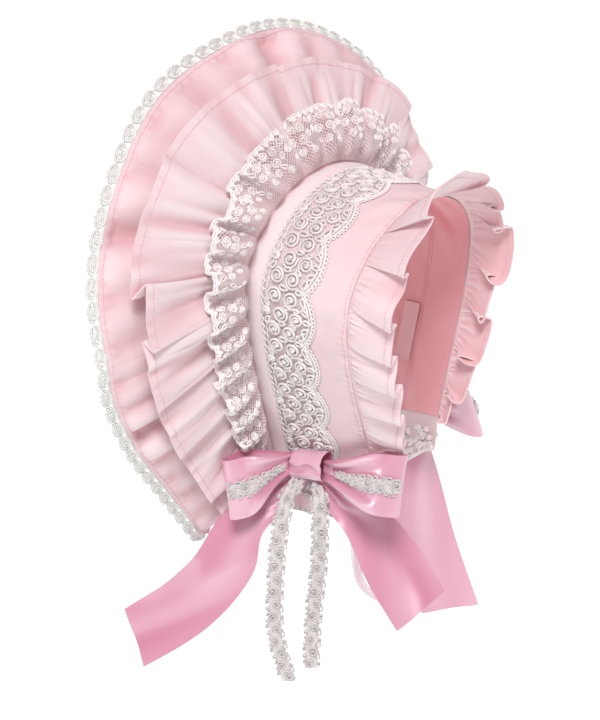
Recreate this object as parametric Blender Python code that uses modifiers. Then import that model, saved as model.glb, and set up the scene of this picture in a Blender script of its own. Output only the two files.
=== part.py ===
"""Brimmed headband of frilled cotton: a half bonnet with a halo brim, two lace frills and two satin bows.

Metres, +Z up. +X is the wearer's left, +Y the back of the head, and the face looks along -Y. The origin is
the top of the head hollow, half way between the front and the back seam of the crown.
"""
import math

import bmesh
import bpy
from mathutils import Vector

COLLECTION = "brimmed_headband"
MM = 0.001
GAP = 0.0003

# Head hollow: the arch that the lining makes over the head
HEAD_HALF_WIDTH = 0.079
HEAD_RISE = 0.057
CROWN_DEPTH = 0.083
DROP_FRONT = 0.150
DROP_BACK = 0.135
PINCH_FRONT = 0.032
PINCH_BACK = 0.036
TOP_SHARE = 0.45  # share of each half of the arch that is the round top, the rest is the straight side

# Walls of the crown, from the head outwards
LINING_THICK = 0.0012
SHELL_THICK = 0.0020
SHELL_OFF = LINING_THICK + GAP
TRIM_OFF = SHELL_OFF + SHELL_THICK + GAP

# Strip and lace over the crown
BAND_WIDTH = 0.0120
BAND_THICK = 0.0014
BAND_BULGE = 0.0012
GALLOON_WIDTH = 0.0455
GALLOON_THICK = 0.0013
GALLOON_SCALLOP = 0.0030
GALLOON_SCALLOPS = 21

# Brim: a halo from the front seam to a wide edge that leans forward over the face
BRIM_THICK = 0.0030
BRIM_SEAM_Y = -CROWN_DEPTH / 2 - BRIM_THICK - GAP
EDGE_HALF_WIDTH = 0.193
EDGE_RISE = 0.155
EDGE_DROP = 0.201
EDGE_PINCH = 0.097
EDGE_LEVEL = -HEAD_RISE - 0.015
EDGE_FORWARD_SIDE = 0.037
EDGE_FORWARD_TOP = 0.079
BRIM_BELLY = 0.004
BRIM_GATHERS = 16
BRIM_GATHER_HEIGHT = 0.0014
EDGE_LACE_WIDTH = 0.0068
EDGE_LACE_THICK = 0.0012
EDGE_LACE_GAP = 0.0008

# Frills on the back of the brim, as shares of the brim's own depth
RUFFLE_THICK = 0.0012
NET_THICK = 0.0010
NET_REACH = 0.33
NET_FOLDS = 27
NET_FOLD_HEIGHT = 0.0085
NET_LIFT = 0.0030
ROOT_TOP = 0.0018
ROOT_SIDE = 0.0048

# Back frill
BACK_REACH = 0.038
BACK_GAP = 0.0009
BACK_TAPER = 0.45
BACK_FOLDS = 18
BACK_FOLD_HEIGHT = 0.0050
BACK_FLARE_TOP = 0.015
BACK_FLARE_SIDE = -0.009

# Bare tab on the lining, at a place along the arch
LABEL_WIDTH = 0.013
LABEL_THICK = 0.0008
LABEL_PLACE = -0.77
LABEL_BACK = 0.001
LABEL_HALF_SPAN = 0.084

# Edge of the lining, inside the crown's seams
LINING_INSET = 0.0006

# Cuffs under the crown's side hems: name, length, offset from the head, thickness
CUFFS = (
    ("hem_lace", 0.035, 0.0001, 0.0010),
    ("cuff_frill", 0.029, 0.0018, 0.0012),
    ("cuff_lace", 0.020, 0.0038, 0.0010),
)
CUFF_GAP = 0.0009
CUFF_FOLDS = 4
CUFF_FOLD_HEIGHT = 0.0022

# Bow
RIBBON_WIDTH = 0.046
RIBBON_THICK = 0.0010
KNOT_SIZE = (0.015, 0.027, 0.022)
KNOT_CENTRE = (0.0622, -0.001, -0.195)
KNOT_ROUNDING = 0.0045
KNOT_CLEAR = 0.7  # millimetres from the knot to the start of a loop
LACE_TAIL_WIDTH = 0.0115
BOW_LACE_WIDTH = 0.013
BOW_LACE_THICK = 0.0010

# Tucks of the wide frill, from the wearer's right to the left: place along the brim, then on each side of
# the tuck how far the hem stands off the brim in millimetres, and its reach as a share of the brim's depth
TUCKS = (
    ("place", "right_height", "left_height", "right_reach", "left_reach"),
    (-1.00, 8.0, 8.0, 0.74, 0.74),
    (-0.86, 7.0, 12.0, 0.78, 0.81),
    (-0.70, 7.0, 13.0, 0.79, 0.82),
    (-0.56, 8.0, 14.0, 0.80, 0.83),
    (-0.44, 8.0, 15.0, 0.80, 0.83),
    (-0.33, 8.0, 16.0, 0.81, 0.85),
    (-0.16, 8.0, 13.0, 0.74, 0.76),
    (-0.02, 8.0, 13.0, 0.72, 0.73),
    (0.19, 13.0, 8.0, 0.78, 0.77),
    (0.365, 11.5, 17.0, 0.89, 0.80),
    (0.44, 15.0, 8.0, 0.79, 0.82),
    (0.56, 14.0, 8.0, 0.82, 0.80),
    (0.70, 13.0, 7.0, 0.82, 0.79),
    (0.86, 12.0, 7.0, 0.80, 0.78),
    (1.00, 8.0, 8.0, 0.74, 0.74),
)
TUCK_SPAN = 0.014
PANEL_STEP = 0.024

# Ribbon ends, station by station: millimetres from the knot (out from the head, back, up), the direction
# of the ribbon's width there and its half width
STATIONS = ("out", "back", "up", "edge_out", "edge_back", "edge_up", "half_width")
LEFT_TAILS = {
    "tail_front": (
        (-2.5, -8.0, -11.8, 0.0, -1.0, 0.0, 6.0),
        (15.0, -21.0, -27.0, 0.12, -0.91, 0.39, 12.0),
        (36.0, -36.0, -46.0, 0.10, -0.96, 0.24, 17.0),
        (54.0, -42.0, -77.0, 0.39, -0.90, 0.18, 23.0),
        (71.0, -64.0, -112.0, 0.14, -0.80, 0.58, 23.0),
        (92.0, -98.0, -144.0, -0.21, -0.54, 0.82, 23.0),
    ),
    "tail_back": (
        (-2.5, 7.0, -11.8, 0.0, -1.0, 0.0, 6.0),
        (-4.0, 25.0, -27.0, 0.60, -0.60, -0.50, 11.0),
        (-9.0, 46.0, -41.0, 0.69, -0.64, -0.34, 18.0),
        (-10.0, 68.0, -69.0, 0.70, -0.61, -0.37, 23.0),
        (-13.0, 90.0, -102.0, 0.71, -0.44, -0.55, 23.0),
    ),
}
RIGHT_TAILS = {
    "tail_front": (
        (-2.5, -8.0, -11.8, 0.0, -1.0, 0.0, 6.0),
        (3.0, -15.0, -49.0, 0.50, -0.75, -0.40, 12.0),
        (-12.0, -26.0, -97.0, 0.64, -0.52, -0.56, 20.0),
        (-19.0, -30.0, -142.0, 0.62, -0.53, -0.58, 23.0),
        (-18.0, -25.0, -182.0, 0.57, -0.53, -0.63, 23.0),
        (-9.0, -10.0, -199.0, 0.55, -0.52, -0.65, 23.0),
    ),
    "tail_back": (
        (-2.5, 7.0, -11.8, 0.0, -1.0, 0.0, 6.0),
        (-6.0, 14.0, -38.0, -0.40, -0.90, -0.10, 12.0),
        (-9.0, 20.0, -77.0, -0.63, -0.76, -0.14, 20.0),
        (-8.0, 31.0, -125.0, -0.64, -0.76, -0.15, 23.0),
        (-3.0, 52.0, -184.0, -0.64, -0.75, -0.15, 23.0),
    ),
}
LEFT_LACE_TAILS = {
    "lace_tail_front": (
        (3.5, -7.5, -11.9, 0.0, 1.0, 0.0, 5.0),
        (20.0, -7.0, -20.0, -0.57, 0.82, 0.0, 5.8),
        (30.0, -7.0, -46.0, -0.57, 0.82, 0.0, 5.8),
        (35.0, -7.0, -78.0, -0.57, 0.82, 0.0, 5.8),
        (39.0, -5.0, -130.0, -0.57, 0.82, 0.0, 5.8),
        (36.0, 5.0, -175.0, -0.57, 0.82, 0.0, 5.8),
    ),
    "lace_tail_back": (
        (3.5, 7.5, -11.9, 0.0, 1.0, 0.0, 5.0),
        (9.0, 14.0, -22.0, -0.57, 0.82, 0.0, 5.8),
        (10.0, 15.0, -45.0, -0.57, 0.82, 0.0, 5.8),
        (10.0, 14.0, -80.0, -0.57, 0.82, 0.0, 5.8),
        (13.0, 12.0, -120.0, -0.57, 0.82, 0.0, 5.8),
        (17.0, 12.0, -172.0, -0.57, 0.82, 0.0, 5.8),
    ),
}
RIGHT_LACE_TAILS = {
    "lace_tail_front": (
        (3.5, -7.5, -11.9, 0.0, 1.0, 0.0, 5.0),
        (12.0, -3.0, -30.0, -0.40, 0.92, 0.0, 5.8),
        (10.0, 0.0, -70.0, -0.57, 0.82, 0.0, 5.8),
        (2.0, 0.0, -130.0, -0.57, 0.82, 0.0, 5.8),
        (-8.0, 3.0, -197.0, -0.57, 0.82, 0.0, 5.8),
    ),
    "lace_tail_back": (
        (3.5, 7.5, -11.9, 0.0, 1.0, 0.0, 5.0),
        (5.0, 9.0, -25.0, -0.40, 0.92, 0.0, 5.8),
        (7.0, 10.0, -60.0, -0.57, 0.82, 0.0, 5.8),
        (8.0, 9.0, -110.0, -0.57, 0.82, 0.0, 5.8),
        (7.0, 8.0, -165.0, -0.57, 0.82, 0.0, 5.8),
    ),
}

# Loops of a bow: millimetres from the knot to the middle of the outer fold (out, back, up), and the
# direction of that fold
LOOPS = ("out", "back", "up", "edge_out", "edge_back", "edge_up")
LEFT_LOOPS = {
    "loop_front": (50.5, -39.0, -9.5, -0.11, -0.22, 0.97),
    "loop_back": (2.0, 80.0, 13.0, -0.30, -0.06, 0.95),
}
RIGHT_LOOPS = {
    "loop_front": (50.5, -39.0, -9.5, -0.11, -0.22, 0.97),
    "loop_back": (8.0, 60.0, -2.0, -0.30, -0.15, 0.94),
}
LOOP_START_HALF = 0.0080
LOOP_PUFF = 0.0060
LOOP_SPLIT = 0.0014
LOOP_BACK_SHARE = 0.35
LOOP_CREASE = 0.0025
LOOP_TURNS = 14

# Colours as seen in daylight, each with its roughness
COTTON = ((0.93, 0.66, 0.70), 0.9)
LINING = ((0.66, 0.32, 0.35), 0.9)
LACE = ((0.90, 0.86, 0.84), 0.85)
SATIN = ((0.82, 0.36, 0.55), 0.35)


def lerp(a, b, share):
    return a + (b - a) * share


def smooth(share):
    share = min(max(share, 0.0), 1.0)
    return share * share * (3.0 - 2.0 * share)


def finish(name, look):
    """A cloth material of the given colour and roughness."""
    colour, roughness = look
    material = bpy.data.materials.new(name)
    material.use_nodes = True
    shader = material.node_tree.nodes["Principled BSDF"]
    shader.inputs["Base Color"].default_value = (*colour, 1.0)
    shader.inputs["Roughness"].default_value = roughness
    shader.inputs["Metallic"].default_value = 0.0
    return material


def add_piece(name, mesh, look, collection):
    """Link a mesh to the scene as one named piece with its own material."""
    piece = bpy.data.objects.new(name, mesh)
    piece.data.materials.append(finish(name, look))
    collection.objects.link(piece)
    return piece


def cloth(name, columns, rows, place, thickness, look, collection, flip=False, offset=1.0):
    """A sheet laid by place(across -1..1, along 0..1), thickened away from the head or the brim."""
    sheet = bmesh.new()
    bmesh.ops.create_grid(sheet, x_segments=columns, y_segments=rows, size=1.0)
    for vert in sheet.verts:
        vert.co = place(vert.co.x, (vert.co.y + 1.0) / 2.0)
    if flip:
        bmesh.ops.reverse_faces(sheet, faces=sheet.faces)
    mesh = bpy.data.meshes.new(name)
    sheet.to_mesh(mesh)
    sheet.free()
    piece = add_piece(name, mesh, look, collection)
    wall = piece.modifiers.new("Wall", "SOLIDIFY")
    wall.thickness = thickness
    wall.offset = offset
    return piece


def arch(place, y):
    """Point of the head hollow, and its outward normal, at a place from -1 (right hem) to 1 (left hem)."""
    side = math.copysign(1.0, place)
    if abs(place) < TOP_SHARE:
        turn = abs(place) / TOP_SHARE * math.pi / 2
        x = HEAD_HALF_WIDTH * math.sin(turn)
        z = HEAD_RISE * (math.cos(turn) - 1.0)
        normal = Vector((math.sin(turn) / HEAD_HALF_WIDTH, 0, math.cos(turn) / HEAD_RISE))
    else:
        share = min(max(0.5 + y / CROWN_DEPTH, 0.0), 1.0)
        drop = lerp(DROP_FRONT, DROP_BACK, share)
        pinch = lerp(PINCH_FRONT, PINCH_BACK, share)
        down = (abs(place) - TOP_SHARE) / (1.0 - TOP_SHARE)
        x = HEAD_HALF_WIDTH - pinch * down * down * (2.0 - down)
        z = -HEAD_RISE - drop * down
        normal = Vector((drop, 0, -pinch * down * (4.0 - 3.0 * down)))
    normal.normalize()
    return Vector((side * x, y, z)), Vector((side * normal.x, 0, normal.z))


def arch_point(place, y, off):
    """Point of the crown at a distance outside the head hollow."""
    point, normal = arch(place, y)
    return point + normal * off


def brim_edge(place):
    """Point of the brim's outer edge."""
    if abs(place) < TOP_SHARE:
        turn = abs(place) / TOP_SHARE * math.pi / 2
        x = EDGE_HALF_WIDTH * math.sin(turn)
        z = EDGE_RISE * math.cos(turn)
        forward = lerp(EDGE_FORWARD_SIDE, EDGE_FORWARD_TOP, math.cos(turn))
    else:
        down = (abs(place) - TOP_SHARE) / (1.0 - TOP_SHARE)
        x = EDGE_HALF_WIDTH - EDGE_PINCH * down * down * (2.0 - down)
        z = -EDGE_DROP * down
        forward = EDGE_FORWARD_SIDE
    return Vector((math.copysign(x, place), -CROWN_DEPTH / 2 - forward, EDGE_LEVEL + z))


def brim_base(place, reach):
    """Point of the brim's face side, from the seam (reach 0) to the edge (reach 1)."""
    root = arch_point(place, BRIM_SEAM_Y, SHELL_OFF)
    return root + (brim_edge(place) - root) * reach


def brim_normal(place, reach):
    """Direction that stands off the brim, towards the back of the head."""
    step = 0.002
    place = min(max(place, -1.0 + step), 1.0 - step)
    along = brim_base(place + step, reach) - brim_base(place - step, reach)
    outward = brim_base(place, reach + step) - brim_base(place, reach - step)
    return outward.cross(along).normalized()


def brim_wave(place, reach):
    """Soft gathers of the brim's outer half, which die out at the hem."""
    fade = smooth((reach - 0.35) / 0.3) * smooth((0.97 - reach) / 0.15)
    phase = math.pi * BRIM_GATHERS * (place + 1.0) + 2.0 * math.sin(5.0 * place)
    return BRIM_GATHER_HEIGHT * fade * math.sin(phase)


def brim_point(place, reach, height):
    """Point at a height over the brim's face side."""
    belly = BRIM_BELLY * math.sin(math.pi * min(max(reach, 0.0), 1.0))
    rise = height + belly + brim_wave(place, reach)
    return brim_base(place, reach) + brim_normal(place, reach) * rise


def brim_depth(place):
    return (brim_edge(place) - brim_base(place, 0.0)).length


def make_brim(collection):
    cloth("brim", 64, 4, lambda u, v: brim_point(u, v, 0.0), BRIM_THICK, COTTON, collection, flip=True)


def make_edge_lace(collection):
    """Narrow looped lace that stands out past the brim's hem."""
    lift = (BRIM_THICK - EDGE_LACE_THICK) / 2

    def place_lace(place, share):
        reach = 1.0 + (EDGE_LACE_GAP + EDGE_LACE_WIDTH * share) / brim_depth(place)
        return brim_point(place, reach, lift)

    cloth("brim_edge_lace", 60, 1, place_lace, EDGE_LACE_THICK, LACE, collection, flip=True)


def ruffle_start(place):
    """Reach at which the frills are sewn to the brim, clear of the strip over the crown."""
    width = lerp(ROOT_TOP, ROOT_SIDE, smooth(abs(place) / TOP_SHARE))
    return width / brim_depth(place)


def across_panel(place, right, left):
    """Value of two columns of the tuck table at a place: even across a panel, and steep through a tuck."""
    rows = TUCKS[1:]
    for here, following in zip(rows, rows[1:]):
        if place <= following[0]:
            break
    share = smooth((place - here[0]) / (following[0] - here[0]))
    half = TUCK_SPAN / 2
    if place > following[0] - half:
        return lerp(following[right], following[left], 0.5 * (place - following[0] + half) / half)
    if place < here[0] + half:
        return lerp(here[left], here[right], 0.5 * (here[0] + half - place) / half)
    return lerp(here[left], following[right], share)


def ruffle_end(place):
    """Reach of the wide frill's hem."""
    return across_panel(place, 3, 4)


def wide_height(place, reach):
    """Height of the wide frill's underside over the brim's face side."""
    start = ruffle_start(place)
    share = max(reach - start, 0.0) / (ruffle_end(place) - start)
    return BRIM_THICK + GAP + across_panel(place, 1, 2) * MM * share ** 1.3


def panel_places():
    """Places of the wide frill's columns: close together at each tuck, even across each panel."""
    half = TUCK_SPAN / 2
    tucks = [row[0] for row in TUCKS[1:]]
    places = [tucks[0]]
    for here, following in zip(tucks, tucks[1:]):
        first = here + half if here > tucks[0] else here
        last = following - half if following < tucks[-1] else following
        steps = max(2, round((last - first) / PANEL_STEP))
        if here > tucks[0]:
            places.append(first)
        places += [lerp(first, last, k / steps) for k in range(1, steps + 1)]
    return places


def make_wide_ruffle(collection):
    places = panel_places()
    columns = len(places) - 1

    def place_panel(across, share):
        place = places[round((across + 1.0) / 2.0 * columns)]
        reach = lerp(ruffle_start(place), ruffle_end(place), share)
        return brim_point(place, reach, wide_height(place, reach))

    cloth("wide_ruffle", columns, 4, place_panel, RUFFLE_THICK, COTTON, collection, flip=True)


def net_base(place, reach):
    """A height that clears the wide frill and the tucks beside it."""
    beside = [min(max(place + shift, -1.0), 1.0) for shift in (-0.025, -0.012, 0.0, 0.012, 0.025)]
    return max(wide_height(spot, reach) for spot in beside) + RUFFLE_THICK + GAP


def make_lace_ruffle(collection):
    """Gathered lace over the root of the wide frill, in even upright folds."""

    def place_fold(place, share):
        start = ruffle_start(place)
        reach = lerp(start, NET_REACH, share)
        wave = 0.5 - 0.5 * math.cos(math.pi * NET_FOLDS * (place + 1.0))
        height = NET_FOLD_HEIGHT * (1.0 - 0.6 * smooth((abs(place) - 0.80) / 0.12))
        lift = (NET_LIFT + height * wave) * share + 0.6 * MM * smooth(share * 4.0)
        return brim_point(place, reach, net_base(place, reach) + lift)

    cloth("lace_ruffle", 4 * NET_FOLDS, 2, place_fold, NET_THICK, LACE, collection, flip=True)


def make_crown_shell(collection):
    cloth(
        "crown_shell", 48, 1,
        lambda place, share: arch_point(place, (share - 0.5) * CROWN_DEPTH, SHELL_OFF),
        SHELL_THICK, COTTON, collection,
    )


def make_lining(collection):
    depth = CROWN_DEPTH - 2 * LINING_INSET
    cloth(
        "lining", 48, 1,
        lambda place, share: arch_point(place, (share - 0.5) * depth, 0.0),
        LINING_THICK, LINING, collection,
    )


def make_label(collection):
    """Small bare tab sewn to the lining on the right, below the temple."""

    def place_tab(across, share):
        y = LABEL_BACK + (share - 0.5) * LABEL_WIDTH
        return arch_point(LABEL_PLACE + across * LABEL_HALF_SPAN, y, -GAP)

    cloth("label", 3, 1, place_tab, LABEL_THICK, LINING, collection, offset=-1.0)


def make_front_band(collection):
    """Padded strip along the crown's front."""

    def place_strip(place, share):
        y = -CROWN_DEPTH / 2 + BAND_WIDTH * share
        return arch_point(place, y, TRIM_OFF + BAND_BULGE * math.sin(math.pi * share))

    cloth("front_band", 48, 2, place_strip, BAND_THICK, COTTON, collection)


def make_crown_lace(collection):
    """Broad corded lace over the crown, with scallops along its back edge."""
    front = -CROWN_DEPTH / 2 + BAND_WIDTH + 2 * GAP

    def place_lace(place, share):
        scallop = abs(math.sin(math.pi * GALLOON_SCALLOPS * (place + 1.0) / 2.0))
        width = GALLOON_WIDTH - GALLOON_SCALLOP * (1.0 - scallop)
        return arch_point(place, front + width * share, TRIM_OFF)

    cloth("crown_lace", 4 * GALLOON_SCALLOPS, 1, place_lace, GALLOON_THICK, LACE, collection)


def make_back_ruffle(collection):
    """Gathered frill on the crown's back seam, which flares away from the head."""

    def place_fold(place, share):
        flare = lerp(BACK_FLARE_TOP, BACK_FLARE_SIDE, smooth(abs(place) / 0.7))
        height = 2 * BACK_FOLD_HEIGHT * (1.0 - 0.7 * smooth((abs(place) - 0.80) / 0.15))
        wave = 0.5 - 0.5 * math.cos(math.pi * BACK_FOLDS * (place + 1.0))
        off = SHELL_OFF + flare * share ** 1.4 + height * wave * share
        depth = BACK_REACH * (1.0 - BACK_TAPER * smooth((abs(place) - 0.75) / 0.25))
        y = CROWN_DEPTH / 2 + BACK_GAP + depth * share
        return arch_point(place, y, off)

    cloth("back_ruffle", 6 * BACK_FOLDS, 2, place_fold, RUFFLE_THICK, COTTON, collection)


def make_cuffs(side, suffix, collection):
    """Three short frills that hang from the crown's side hem, one over the other."""
    step = 0.002

    def place_frill(across, share, length, off):
        y = across * (CROWN_DEPTH / 2 - 1.0 * MM)
        hem, normal = arch(side, y)
        down = (hem - arch(side * (1.0 - step), y)[0]).normalized()
        reach = length * (1.0 - 0.40 * smooth((across - 0.1) / 0.9) - 0.15 * smooth((-across - 0.5) / 0.5))
        wave = 0.5 - 0.5 * math.cos(math.pi * CUFF_FOLDS * (across + 1.0))
        distance = CUFF_GAP + reach * share
        flare = 0.20 * distance + CUFF_FOLD_HEIGHT * wave * min(distance / 0.02, 1.0)
        return hem + down * distance + normal * (off + flare)

    for name, length, off, thick in CUFFS:
        look = COTTON if name == "cuff_frill" else LACE
        cloth(
            f"{name}_{suffix}", 4 * CUFF_FOLDS - 2, 2,
            lambda u, v, length=length, off=off: place_frill(u, v, length, off),
            thick, look, collection, flip=side > 0,
        )


def from_knot(side, out, back, up):
    """World point at millimetres from a knot: out from the head, back and up."""
    x, y, z = KNOT_CENTRE
    return Vector((side * (x + out * MM), y + back * MM, z + up * MM))


def direction(side, out, back, up):
    return Vector((side * out, back, up)).normalized()


def make_knot(side, name, collection):
    """Ribbon wrapped round the middle of the bow."""
    knot = bmesh.new()
    bmesh.ops.create_cube(knot, size=1.0)
    for vert in knot.verts:
        vert.co = Vector(a * b for a, b in zip(vert.co, KNOT_SIZE))
    mesh = bpy.data.meshes.new(name)
    knot.to_mesh(mesh)
    knot.free()
    piece = add_piece(name, mesh, SATIN, collection)
    piece.location = from_knot(side, 0, 0, 0)
    rounding = piece.modifiers.new("Rounding", "BEVEL")
    rounding.width = KNOT_ROUNDING
    rounding.segments = 2


def loop_point(side, row, across, turn, lift=0.0):
    """Point of a loop of ribbon: turn runs 0 to 1 from the knot out to the fold and back to the knot."""
    out, back, up, *edge = row
    fold = from_knot(side, out, back, up)
    start = from_knot(side, 0, math.copysign(KNOT_SIZE[1] / 2 / MM + KNOT_CLEAR, back), 0)
    fold_edge = direction(side, *edge)
    reach = math.sin(math.pi * turn)
    width_share = smooth(reach * 1.2)
    edge_now = Vector((0, 0, 1)).lerp(fold_edge, width_share).normalized()
    facing = (fold - start).normalized().cross(fold_edge).normalized()
    if facing.x * side < 0:
        facing = -facing
    facing = Vector((side, 0, 0)).lerp(facing, width_share).normalized()
    half = lerp(LOOP_START_HALF, RIBBON_WIDTH / 2, width_share)
    swell = LOOP_PUFF * math.sin(2.0 * math.pi * turn)
    puff = LOOP_SPLIT * math.cos(math.pi * turn) + swell * (1.0 if turn < 0.5 else LOOP_BACK_SHARE)
    crease = LOOP_CREASE * (1.0 - reach) * math.cos(math.pi * across) * math.cos(math.pi * turn)
    middle = start.lerp(fold, reach)
    return middle + edge_now * (half * across) + facing * (puff + crease + lift)


def make_loop(side, name, row, collection):
    cloth(
        name, 4, LOOP_TURNS,
        lambda across, turn: loop_point(side, row, across, turn),
        RIBBON_THICK, SATIN, collection, offset=0.0,
    )


def make_loop_lace(side, name, row, collection):
    """Narrow lace along the middle of a loop's outer layer."""
    share = BOW_LACE_WIDTH / RIBBON_WIDTH
    lift = RIBBON_THICK / 2 + BOW_LACE_THICK / 2 + 2 * GAP
    first, last = 2 / LOOP_TURNS, 6 / LOOP_TURNS

    def place_lace(across, along):
        return loop_point(side, row, across * share, lerp(first, last, along), lift)

    cloth(name, 2, 4, place_lace, BOW_LACE_THICK, LACE, collection, offset=0.0)


def station_at(rows, share):
    """Smooth curve through the stations of a ribbon end."""
    position = share * (len(rows) - 1)
    index = min(int(position), len(rows) - 2)
    t = position - index
    before = rows[max(index - 1, 0)]
    here, following = rows[index], rows[index + 1]
    after = rows[min(index + 2, len(rows) - 1)]
    values = []
    for a, b, c, d in zip(before, here, following, after):
        bend = (2 * a - 5 * b + 4 * c - d) * t * t + (3 * b - a - 3 * c + d) * t ** 3
        values.append(0.5 * (2 * b + (c - a) * t + bend))
    return values


def make_tail(side, name, rows, thickness, look, steps, collection):
    """A hanging ribbon end through its stations."""

    def place_ribbon(across, share):
        out, back, up, edge_out, edge_back, edge_up, half = station_at(rows, share)
        edge = direction(side, edge_out, edge_back, edge_up)
        return from_knot(side, out, back, up) + edge * (across * half * MM)

    cloth(name, 2, steps, place_ribbon, thickness, look, collection, offset=0.0)


def make_bow(side, suffix, loops, tails, lace_tails, collection):
    make_knot(side, f"knot_{suffix}", collection)
    for name, row in loops.items():
        make_loop(side, f"{name}_{suffix}", row, collection)
        make_loop_lace(side, f"{name.replace('loop', 'lace')}_{suffix}", row, collection)
    for name, rows in tails.items():
        make_tail(side, f"{name}_{suffix}", rows, RIBBON_THICK, SATIN, 10, collection)
    for name, rows in lace_tails.items():
        make_tail(side, f"{name}_{suffix}", rows, BOW_LACE_THICK, LACE, 10, collection)


def main():
    for item in list(bpy.data.objects):
        bpy.data.objects.remove(item)
    collection = bpy.data.collections.new(COLLECTION)
    bpy.context.scene.collection.children.link(collection)
    make_brim(collection)
    make_edge_lace(collection)
    make_wide_ruffle(collection)
    make_lace_ruffle(collection)
    make_crown_shell(collection)
    make_lining(collection)
    make_label(collection)
    make_front_band(collection)
    make_crown_lace(collection)
    make_back_ruffle(collection)
    make_cuffs(1.0, "left", collection)
    make_cuffs(-1.0, "right", collection)
    make_bow(1.0, "left", LEFT_LOOPS, LEFT_TAILS, LEFT_LACE_TAILS, collection)
    make_bow(-1.0, "right", RIGHT_LOOPS, RIGHT_TAILS, RIGHT_LACE_TAILS, collection)


if __name__ == "__main__":
    main()
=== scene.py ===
"""Brimmed headband of frilled cotton: cloth, corded lace and satin bows, on a plain pale stage."""

import math

import bpy
import numpy as np
from mathutils import Matrix, Vector


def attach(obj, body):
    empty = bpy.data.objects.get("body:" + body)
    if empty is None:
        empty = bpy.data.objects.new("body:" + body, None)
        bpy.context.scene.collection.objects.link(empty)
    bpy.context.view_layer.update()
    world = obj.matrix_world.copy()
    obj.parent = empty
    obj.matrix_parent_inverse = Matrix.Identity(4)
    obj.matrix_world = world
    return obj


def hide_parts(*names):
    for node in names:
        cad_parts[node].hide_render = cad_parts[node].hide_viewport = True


bl_info = {
    "name": "Brimmed Headband",
    "version": (1, 0, 0),
    "blender": (4, 5, 0),
    "location": "3D View > Sidebar > Headband",
    "description": "Makes the cloth, lace and bows of a brimmed headband over its solid frame",
    "category": "Add Mesh",
}

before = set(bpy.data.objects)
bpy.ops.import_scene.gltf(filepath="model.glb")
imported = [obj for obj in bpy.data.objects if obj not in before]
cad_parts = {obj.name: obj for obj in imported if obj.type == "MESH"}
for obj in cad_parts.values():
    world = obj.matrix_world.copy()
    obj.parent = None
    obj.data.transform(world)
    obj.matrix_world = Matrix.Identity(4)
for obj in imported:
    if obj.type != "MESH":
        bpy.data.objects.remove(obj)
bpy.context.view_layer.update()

MM = 0.001

# The wearer's sides, and where each lies along x
SIDES = {"left": 1.0, "right": -1.0}

# Crown: the arch over the head and the walls on it, in metres
HEAD_HALF_WIDTH = 0.079
HEAD_RISE = 0.057
CROWN_DEPTH = 0.083
DROPS = (0.150, 0.135)  # straight side, at the front and at the back
PINCHES = (0.032, 0.036)  # how far each hem comes in, at the front and at the back
TOP_SHARE = 0.45
SHELL_OFF = 0.0015
TRIM_OFF = 0.0038

# Brim: edge half width, rise, drop, pinch, level, and how far it leans forward at the side and at the top
BRIM_SEAM_Y = -CROWN_DEPTH / 2 - 0.0033
EDGE_HALF_WIDTH = 0.193
EDGE_RISE = 0.155
EDGE_DROP = 0.201
EDGE_PINCH = 0.097
EDGE_LEVEL = -HEAD_RISE - 0.015
EDGE_FORWARD = (0.037, 0.079)
BRIM_THICK = 0.0030

# Tucks of the wide frill, from the wearer's right to the left: place along the brim, then on each side of
# the tuck how far the hem stands off in millimetres and its reach as a share of the brim's depth, and how
# far the upper layer lies over the lower one at the hem in millimetres
TUCKS = (
    ("place", "right_height", "left_height", "right_reach", "left_reach", "overlap"),
    (-1.00, 8.0, 8.0, 0.74, 0.74, 0.0),
    (-0.86, 7.0, 12.0, 0.78, 0.81, 7.0),
    (-0.70, 7.0, 13.0, 0.79, 0.82, 9.0),
    (-0.56, 8.0, 14.0, 0.80, 0.83, 10.0),
    (-0.44, 8.0, 13.0, 0.76, 0.79, 10.0),
    (-0.33, 8.0, 14.0, 0.75, 0.79, 12.0),
    (-0.16, 9.0, 9.0, 0.69, 0.70, 0.2),
    (-0.02, 9.0, 12.0, 0.70, 0.72, 5.0),
    (0.19, 8.0, 8.0, 0.82, 0.82, 0.2),
    (0.365, 11.0, 17.0, 0.87, 0.80, 12.0),
    (0.44, 15.0, 8.0, 0.79, 0.82, 11.0),
    (0.56, 14.0, 8.0, 0.82, 0.80, 10.0),
    (0.70, 13.0, 7.0, 0.82, 0.79, 9.0),
    (0.86, 12.0, 7.0, 0.80, 0.78, 7.0),
    (1.00, 8.0, 8.0, 0.74, 0.74, 0.0),
)

# Bow: the knot's middle, and ribbon ends station by station in millimetres from the knot (out from the
# head, back, up), with the direction of the ribbon's width (out, back, up) and its half width
KNOT_CENTRE = (0.0622, -0.001, -0.195)
KNOT_SIZE = (0.015, 0.027, 0.022)
RIBBON_HALF_WIDTH = 0.023
RIBBON_ROOT_FRONT = (-2.5, -8.0, -11.8, 0.0, -1.0, 0.0, 6.0)
RIBBON_ROOT_BACK = (-2.5, 7.0, -11.8, 0.0, -1.0, 0.0, 6.0)
LACE_ROOT_FRONT = (3.5, -7.5, -11.9, 0.0, 1.0, 0.0, 5.0)
LACE_ROOT_BACK = (3.5, 7.5, -11.9, 0.0, 1.0, 0.0, 5.0)
LACE_EDGE = (-0.57, 0.82, 0.0, 5.8)
LACE_EDGE_RIGHT = (-0.40, 0.92, 0.0, 5.8)
LACE_SPREAD = 1.12  # the outer loops of the narrow lace reach this much past its half width
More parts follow.
